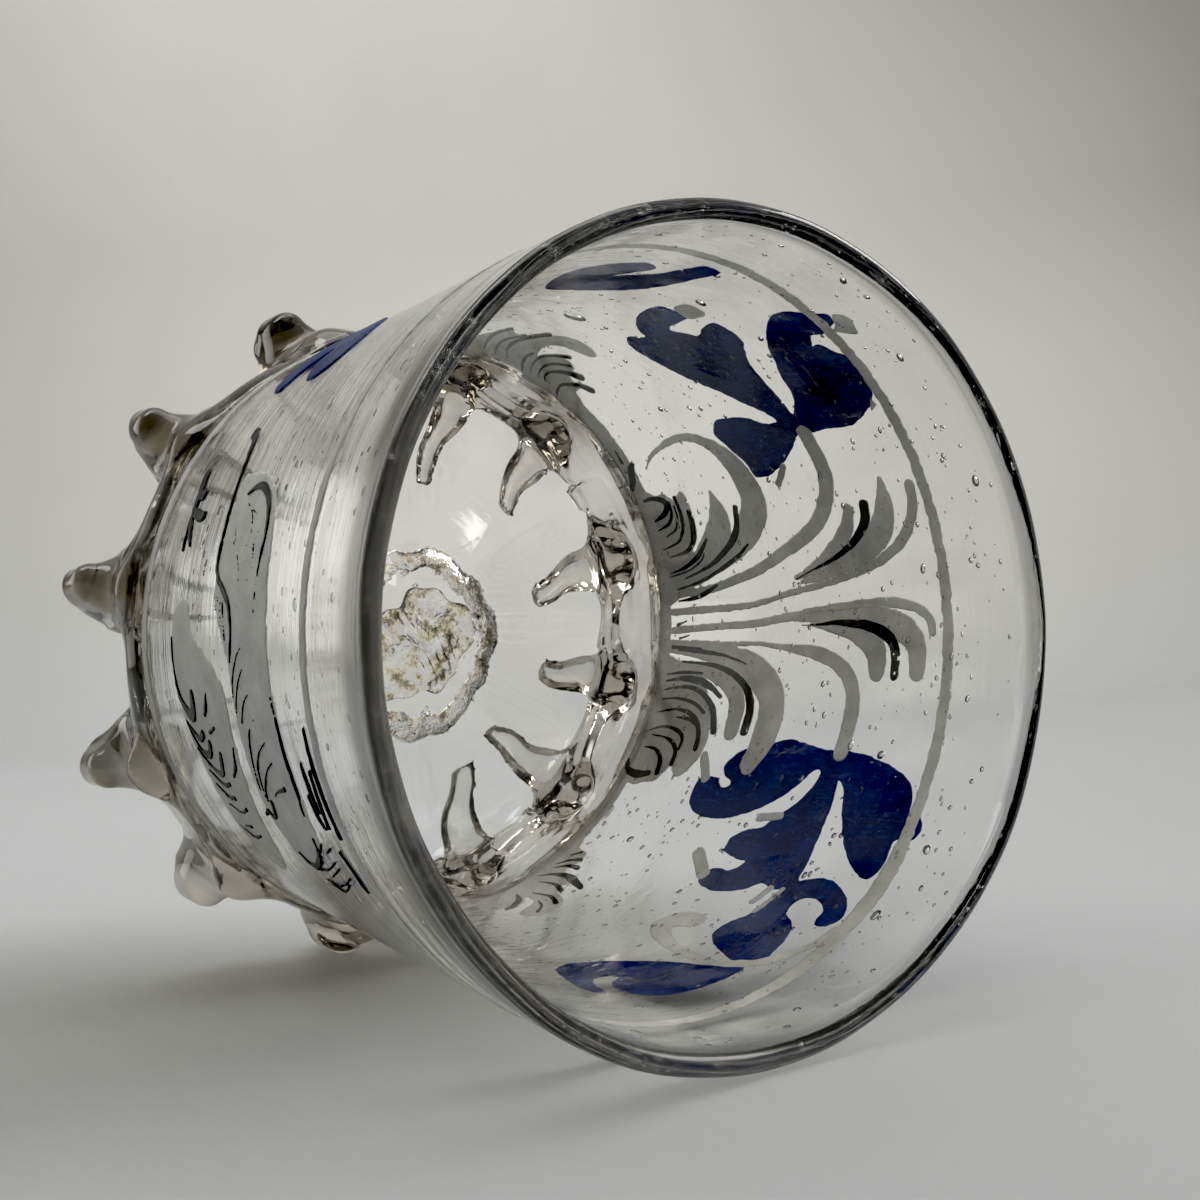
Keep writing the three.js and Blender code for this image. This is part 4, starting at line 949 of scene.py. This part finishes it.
# The bird on the side towards the viewer, in thin white with black line work
paint("bird_body_paint", THIN, "bird_body", [
    Patch(157, .525, 157, .6, 158.5, .7, 162, .76, 168, .8, 175, .815, 190, .83, 206, .845, 210, .83,
        214, .78, 216.5, .72, 216.5, .67, 212, .63, 206, .6, 192, .6, 186, .595, 182, .565, 176.5, .515,
        170, .515, 162, .515),
])
paint("bird_wing_paint", THIN, "bird_wing", [
    Patch(176, .33, 178, .235, 190, .232, 197, .255, 205, .285, 214, .31, 220, .36, 221, .44, 217, .5,
        208, .53, 198, .55, 190, .55, 186, .5, 183, .42, 180, .36),
])
paint("bird_back_line", QUILL, "bird_back", [
    Stroke([.03, .02, .012, .010, .010, .010, .014, .018, .020, .018, .014, .008], 148.3, .42,
        150.5, .455, 154.9, .48, 159.9, .498, 164.9, .508, 170.5, .51, 173, .53, 174.9, .57, 176.8, .605,
        179.3, .622, 181.8, .625, 185.2, .615),
    Stroke(.005, 175.1, .515, 178, .53),
    Stroke(.005, 175.5, .535, 179.6, .55),
    Stroke(.005, 175.8, .555, 180.8, .565),
    Stroke(.006, 176.4, .57, 182.4, .59),
])
paint("bird_breast_line", QUILL, "bird_breast", [
    Stroke([.01, .018, .022, .022, .018, .014, .008, .005, .004], 160.5, .59, 159.6, .645, 160.5, .695,
        162.4, .735, 164.9, .758, 167.4, .767, 170.5, .763, 174.9, .757, 178.3, .753),
    Stroke(.005, 162, .61, 163.3, .645, 164.9, .67, 167.7, .688),
    Stroke(.005, 163.3, .655, 164.9, .71, 167.4, .722),
    Stroke(.005, 168.3, .71, 172.7, .73),
    Stroke(.005, 168.6, .67, 171.8, .695, 175.9, .712),
    Stroke(.005, 169.9, .625, 171.8, .645, 173.9, .655),
    Stroke(.005, 167.4, .582, 169.3, .603, 170.2, .61),
    Stroke(.005, 165.4, .577, 167.7, .595),
])
paint("bird_tail_line", QUILL, "bird_tail", [
    Stroke([.003, .006, .010, .012, .006], 185.5, .815, 192.4, .83, 197.4, .835, 201.8, .84, 205.8, .83),
    Stroke([.012, .018, .020, .018, .014, .01], 209.6, .812, 211.8, .80, 213.9, .765, 215, .73,
        214.9, .70, 213.6, .675),
    Stroke(.007, 212.7, .86, 214.9, .79, 215.8, .72),
    Stroke(.006, 213.6, .865, 216.1, .79),
    Stroke(.006, 214.9, .89, 217.4, .81, 217.4, .74),
    Stroke(.006, 216.5, .86, 218.6, .80, 218, .75),
    Stroke(.008, 210.2, .88, 211, .855),
    Stroke(.006, 210, .84, 212, .805, 214, .775),
    Stroke([.018, .016, .012, .008], 205.5, .665, 207.4, .655, 208, .635, 207.1, .615, 208.3, .59),
    Stroke([.004, .008, .004], 182.7, .688, 184.3, .655, 187.4, .625, 190.6, .61),
    Stroke([.004, .008, .004], 184.9, .705, 187.4, .66, 191.1, .625, 194.6, .61),
    Stroke([.004, .008, .004], 188.8, .715, 191.1, .665, 195.8, .622),
    Stroke([.004, .008, .004], 192.4, .72, 194.9, .67, 199.6, .64, 204.3, .625),
    Stroke([.006, .010, .004], 195.8, .745, 198, .69, 201.1, .655, 206.1, .64),
    Stroke([.006, .010, .004], 198.8, .75, 200.5, .705, 203.6, .66, 206.8, .645),
    Stroke([.014, .010, .004], 202.4, .775, 203.3, .725, 204.3, .70),
])
paint("bird_crook_line", BLACK, "bird_crook", [
    Stroke([.026, .032, .028, .018, .012, .006, .004], 190.8, .34, 193, .335, 194.3, .315, 193.3, .28,
        191.1, .25, 186.8, .235, 181.8, .23),
    Stroke([.022, .018, .010, .004], 197, .36, 197.9, .33, 196.8, .295, 195.2, .26),
    Stroke([.02, .022, .014, .008, .004], 198.3, .39, 199.9, .375, 200.5, .345, 199.6, .31, 195.5, .26),
    Stroke([.02, .018, .012, .006], 199.9, .44, 202.7, .415, 203.3, .385, 201.8, .33, 199.6, .29),
    Stroke([.014, .010, .004], 204.9, .425, 205.2, .38, 203, .31),
    Stroke([.014, .010, .004], 207.4, .415, 207.4, .375, 205.5, .32),
    Stroke([.012, .008, .004], 208.9, .46, 209.9, .41, 208.9, .35),
    Stroke([.010, .004], 212.4, .425, 212.7, .38),
    Stroke([.010, .008, .004], 213.9, .45, 214.6, .40, 213, .33),
    Stroke([.006, .016, .012], 190.2, .44, 192.4, .425, 193.6, .41),
    Stroke(.010, 195.5, .45, 196.4, .415),
    Stroke([.006, .014, .010], 198, .54, 201.1, .515, 203, .48),
])
paint("bird_claw_lines", BLACK, "bird_claw", [
    Stroke([.030, .032, .026], 154, .21, 157, .225, 161, .235),
    Stroke([.026, .028], 158.3, .235, 158.3, .265),
    Stroke([.022, .028, .024], 162.3, .325, 162.2, .29, 161.3, .245),
    Stroke([.012, .020, .018], 167, .28, 165, .26, 162, .235),
    Stroke([.010, .015], 167.6, .237, 162, .23),
])
paint("top_strokes", BLACK, None, [
    Stroke([.004, .012, .008], 192.4, .965, 199.6, .968, 207.4, .972),
    Stroke([.004, .010, .006], 198.3, .945, 203, .94, 206.4, .936),
    Stroke([.004, .012, .008], 197.4, .91, 201.1, .915, 204.3, .918),
    Stroke([.004, .010, .006], 202.1, .895, 205.2, .905, 206.8, .915),
    Stroke([.004, .010, .006], 209.9, .93, 213, .945, 216.1, .95),
])


# Seeds in the glass

SEEDS = 2300
# Angle, share of the band and length of the few large ones
LARGE_SEEDS = (81, 0.47, 1.9), (72, 0.80, 0.9), (-52, 1.06, 0.9), (24, 1.15, 0.8), (48, 1.12, 0.7)


def seed_mesh(rings=5, sides=7):
    """Small air bubbles, drawn out along the wall as the glass was turned."""
    p, q = np.meshgrid(np.arange(1, rings) * math.pi / rings, circle(sides), indexing="ij")
    ball = np.stack([-np.cos(p), np.cos(q) * np.sin(p), np.sin(q) * np.sin(p)], -1).reshape(-1, 3)
    ball = np.vstack([[-1, 0, 0], ball, [1, 0, 0]])
    last = len(ball) - 1
    shell = []
    for k in range(sides):
        n = (k + 1) % sides
        shell += [[0, 1 + n, 1 + k], [last, last - sides + k, last - sides + n]]
        shell += [[a + k, a + n, a + sides + n, a + sides + k] for a in range(1, last - sides, sides)]
    points, faces = [], []

    def bubble(angle, z, deep, along, across, thick, tilt):
        out = np.array([math.cos(angle), math.sin(angle), 0])
        side, up = np.array([-math.sin(angle), math.cos(angle), 0]), np.array([0, 0, 1.0])
        axes = np.array([(side * math.cos(tilt) + up * math.sin(tilt)) * along,
                         (up * math.cos(tilt) - side * math.sin(tilt)) * across, out * thick])
        faces.extend([len(points) + k for k in face] for face in shell)
        points.extend(out * (wall_radius(z) + wobble(angle, z) - deep) + up * z + ball @ axes)

    for _ in range(SEEDS):
        length = 0.15 + 0.38 * rng.random() ** 2.4
        if rng.random() < 0.07:
            length *= 1.5
        bubble(rng.uniform(0, 2 * math.pi), rng.uniform(24, 92), rng.uniform(0.65, 1.35), length,
               length * rng.uniform(0.5, 0.85), min(0.42, length * rng.uniform(0.5, 0.8)),
               rng.normal(0.1, 0.35))
    for angle, share, length in LARGE_SEEDS:
        bubble(math.radians(angle), LOWER_LINE + share * BAND, 0.95, length, length * 0.62, 0.45, 0.1)
    return points, faces


def seed_material():
    """Air in glass: light bends the other way, so each seed has a dark outline."""
    n = new_material("seeds")
    dim = n.noise(n.place, 500.0, 2.0)
    colour = n.ramp(dim, (0.4, (0.93, 0.92, 0.90)), (0.6, (1, 1, 1)))
    air = n.fill(n.add("ShaderNodeBsdfGlass"), IOR=1 / 1.5, Color=colour,
                 Roughness=n.grey(dim, (0.3, 0.0), (0.8, 0.04)))
    return n.lets_lamps_through(air, (0.95, 0.95, 0.95))


fit("seeds", "clear_glass", None, *seed_mesh(), seed_material())


# Camera, floor and lights

RIGHT = Vector((0.8503, 0.0, 0.5263)).normalized()
UP = Vector((-0.0423, 0.9968, 0.0684)).normalized()
BACK = RIGHT.cross(UP).normalized()
UP = BACK.cross(RIGHT)
EYE = Vector((-96.71, 0.85, 208.82)) * MM

camera_data = bpy.data.cameras.new("camera")
camera_data.sensor_width, camera_data.lens = 36.0, 42.52
camera_data.shift_x, camera_data.shift_y = 0.05, -0.08
camera_data.clip_start, camera_data.clip_end = 0.01, 20.0
camera = bpy.data.objects.new("camera", camera_data)
bpy.context.scene.collection.objects.link(camera)
camera.matrix_world = Matrix([(*row, at) for row, at in zip(zip(RIGHT, UP, BACK), EYE)] + [(0, 0, 0, 1)])
bpy.context.scene.camera = camera

FLOOR_UP = Vector((-0.0518, 0.9979, -0.0376)).normalized()
FLOOR_AT = Vector((0.0, -45.25, 96.0)) * MM
AWAY = (-BACK - FLOOR_UP * (-BACK).dot(FLOOR_UP)).normalized()
ASIDE = AWAY.cross(FLOOR_UP)


def on_floor(aside, away, up):
    """A point placed from where the lip rests on the floor, in metres."""
    return FLOOR_AT + ASIDE * aside + AWAY * away + FLOOR_UP * up


def stage_material():
    """Pale sheet with painted light and shade: a painted glow behind the glass, painted shade towards the
    right, up in the right corner and round the far edges, and a painted shadow pool beside the toes.
    """
    n = new_material("stage")
    rise = n.math("SUBTRACT", n.toward(FLOOR_UP), FLOOR_AT.dot(FLOOR_UP))
    colour = n.ramp(n.math("MULTIPLY", rise, 1.6, clamp=True), (0.0, (0.505, 0.522, 0.535)),
                    (0.12, (0.53, 0.535, 0.53)), (0.5, (0.67, 0.665, 0.635)), (1.0, (0.80, 0.795, 0.76)))
    corner = n.toward((ASIDE + FLOOR_UP * 0.8).normalized())
    glow_distance = n.vector("DISTANCE", on_floor(0.02, 0.9, 0.22))
    falloff_distance = n.vector("DISTANCE", on_floor(-0.05, 0.6, 0.3))
    shadow_pool_distance = n.vector("DISTANCE", on_floor(-0.10, 0.035, 0.0))
    mottle, grain = n.noise(n.place, 7.0, 4.0, 0.5), n.noise(n.place, 320.0, 4.0, 0.6)
    # painted shade up in the right corner and towards the right, a painted glow behind the glass, painted
    # shade round the far edges, a painted shadow pool beside the toes, then the sheet's own mottle and
    # grain
    for share, other in (
            (n.span(corner, 0.34, 0.78, 0.0, 0.75), (0.17, 0.165, 0.13)),
            (n.span(n.toward(ASIDE), -0.1, 0.4, 0.0, 0.45), (0.27, 0.27, 0.265)),
            (n.math("SUBTRACT", 1.0, n.times(glow_distance, 1.9), clamp=True), (0.80, 0.79, 0.76)),
            (n.span(falloff_distance, 0.64, 0.90, 0.0, 0.88), (0.12, 0.118, 0.11)),
            (n.span(shadow_pool_distance, 0.025, 0.09, 0.52, 0.0), (0.20, 0.195, 0.175)),
            (n.grey(mottle, (0.35, 0.0), (0.7, 0.10)), (0.42, 0.42, 0.42)),
            (n.grey(grain, (0.62, 0.0), (0.8, 0.12)), (0.30, 0.30, 0.30))):
        colour = n.mix(share, colour, other)
    scratches = n.noise(n.scaled((900, 900, 60)), 1.0, 3.0, 0.7)
    shader = n.principled(Base_Color=colour, Roughness=n.grey(scratches, (0.4, 0.50), (0.7, 0.56)))
    return n.clear_where(n.add("ShaderNodeNewGeometry").outputs["Backfacing"], shader)


def sweep():
    """Floor that runs back and turns up into the backdrop."""
    line = [(-0.9, 0.0), (-0.3, 0.0), (0.2, 0.0), (0.55, 0.0)]
    line += [(0.55 + 0.35 * math.sin(t), 0.35 * (1 - math.cos(t)))
             for t in np.linspace(0, math.pi / 2, 24)[1:]]
    line += [(0.9, 0.55), (0.9, 0.8)]
    points = [on_floor(side, away, up) / MM for away, up in line for side in (-0.95, 0.85)]
    return points, [[2 * i, 2 * i + 1, 2 * i + 3, 2 * i + 2] for i in range(len(line) - 1)]


make_mesh("floor_and_backdrop", stage_material(), *sweep())


def area_light(name, at, toward, size, power, colour):
    data = bpy.data.lights.new(name, "AREA")
    data.shape, (data.size, data.size_y) = "RECTANGLE", size
    data.energy, data.color = power, colour
    lamp = bpy.data.objects.new(name, data)
    bpy.context.scene.collection.objects.link(lamp)
    lamp.location = at
    lamp.rotation_mode = "QUATERNION"
    lamp.rotation_quaternion = (toward - at).to_track_quat("-Z", "Y")
    lamp.visible_camera = False
    lamp.visible_transmission = name != "ceiling"       # it would blow out white through the glass


MIDDLE = Vector((0, 0, 50)) * MM
area_light("back_window", on_floor(0.85, 0.28, 0.68), MIDDLE, (0.4, 0.6), 4.6, (1.0, 0.985, 0.96))
area_light("ceiling", on_floor(0.0, 0.25, 1.25), on_floor(0.0, 0.2, 0.0), (0.8, 0.8), 3.4,
           (1.0, 0.99, 0.965))
area_light("front_fill", on_floor(0.6, -0.7, 0.5), MIDDLE, (0.16, 0.24), 0.6, (0.96, 0.98, 1.0))
area_light("backdrop_wash", on_floor(-0.4, 0.05, 0.8), on_floor(-0.1, 0.9, 0.3), (0.5, 0.4), 2.8,
           (1.0, 0.985, 0.95))

# A dim room, dark behind the camera and up on the left, with daylight from the right and behind the glass
world = bpy.context.scene.world = bpy.data.worlds.new("studio")
sky = Nodes(world, "ShaderNodeOutputWorld", "Generated")


def lobe(direction, *span):
    """Strength that changes as a ray turns towards a direction."""
    return sky.span(sky.toward(direction.normalized()), *span)


room = sky.times(lobe(FLOOR_UP * 0.6 + ASIDE * 0.6 + AWAY * 0.3, -0.55, 0.8, 0.05, 0.75),
               lobe(BACK * 0.9 - ASIDE * 0.45, 0.0, 0.9, 1.0, 0.2))
room = sky.math("ADD", room, lobe(AWAY * 0.5 - ASIDE * 0.85 + FLOOR_UP * 0.12, 0.90, 0.985, 0.0, 1.3))
seen = sky.add("ShaderNodeMix")
for value, socket in zip((sky.add("ShaderNodeLightPath").outputs["Is Camera Ray"], room, 0.5), (0, 2, 3)):
    sky.put(value, seen.inputs[socket])
sky.surface(sky.fill(sky.add("ShaderNodeBackground"), Strength=seen.outputs[0], Color=(0.90, 0.89, 0.86)))

# The photograph's contrast
view = bpy.context.scene.view_settings
view.view_transform = "Standard"
view.use_curve_mapping = True
view.curve_mapping.black_level = (0.024, 0.024, 0.024)
view.curve_mapping.update()

bpy.context.view_layer.update()
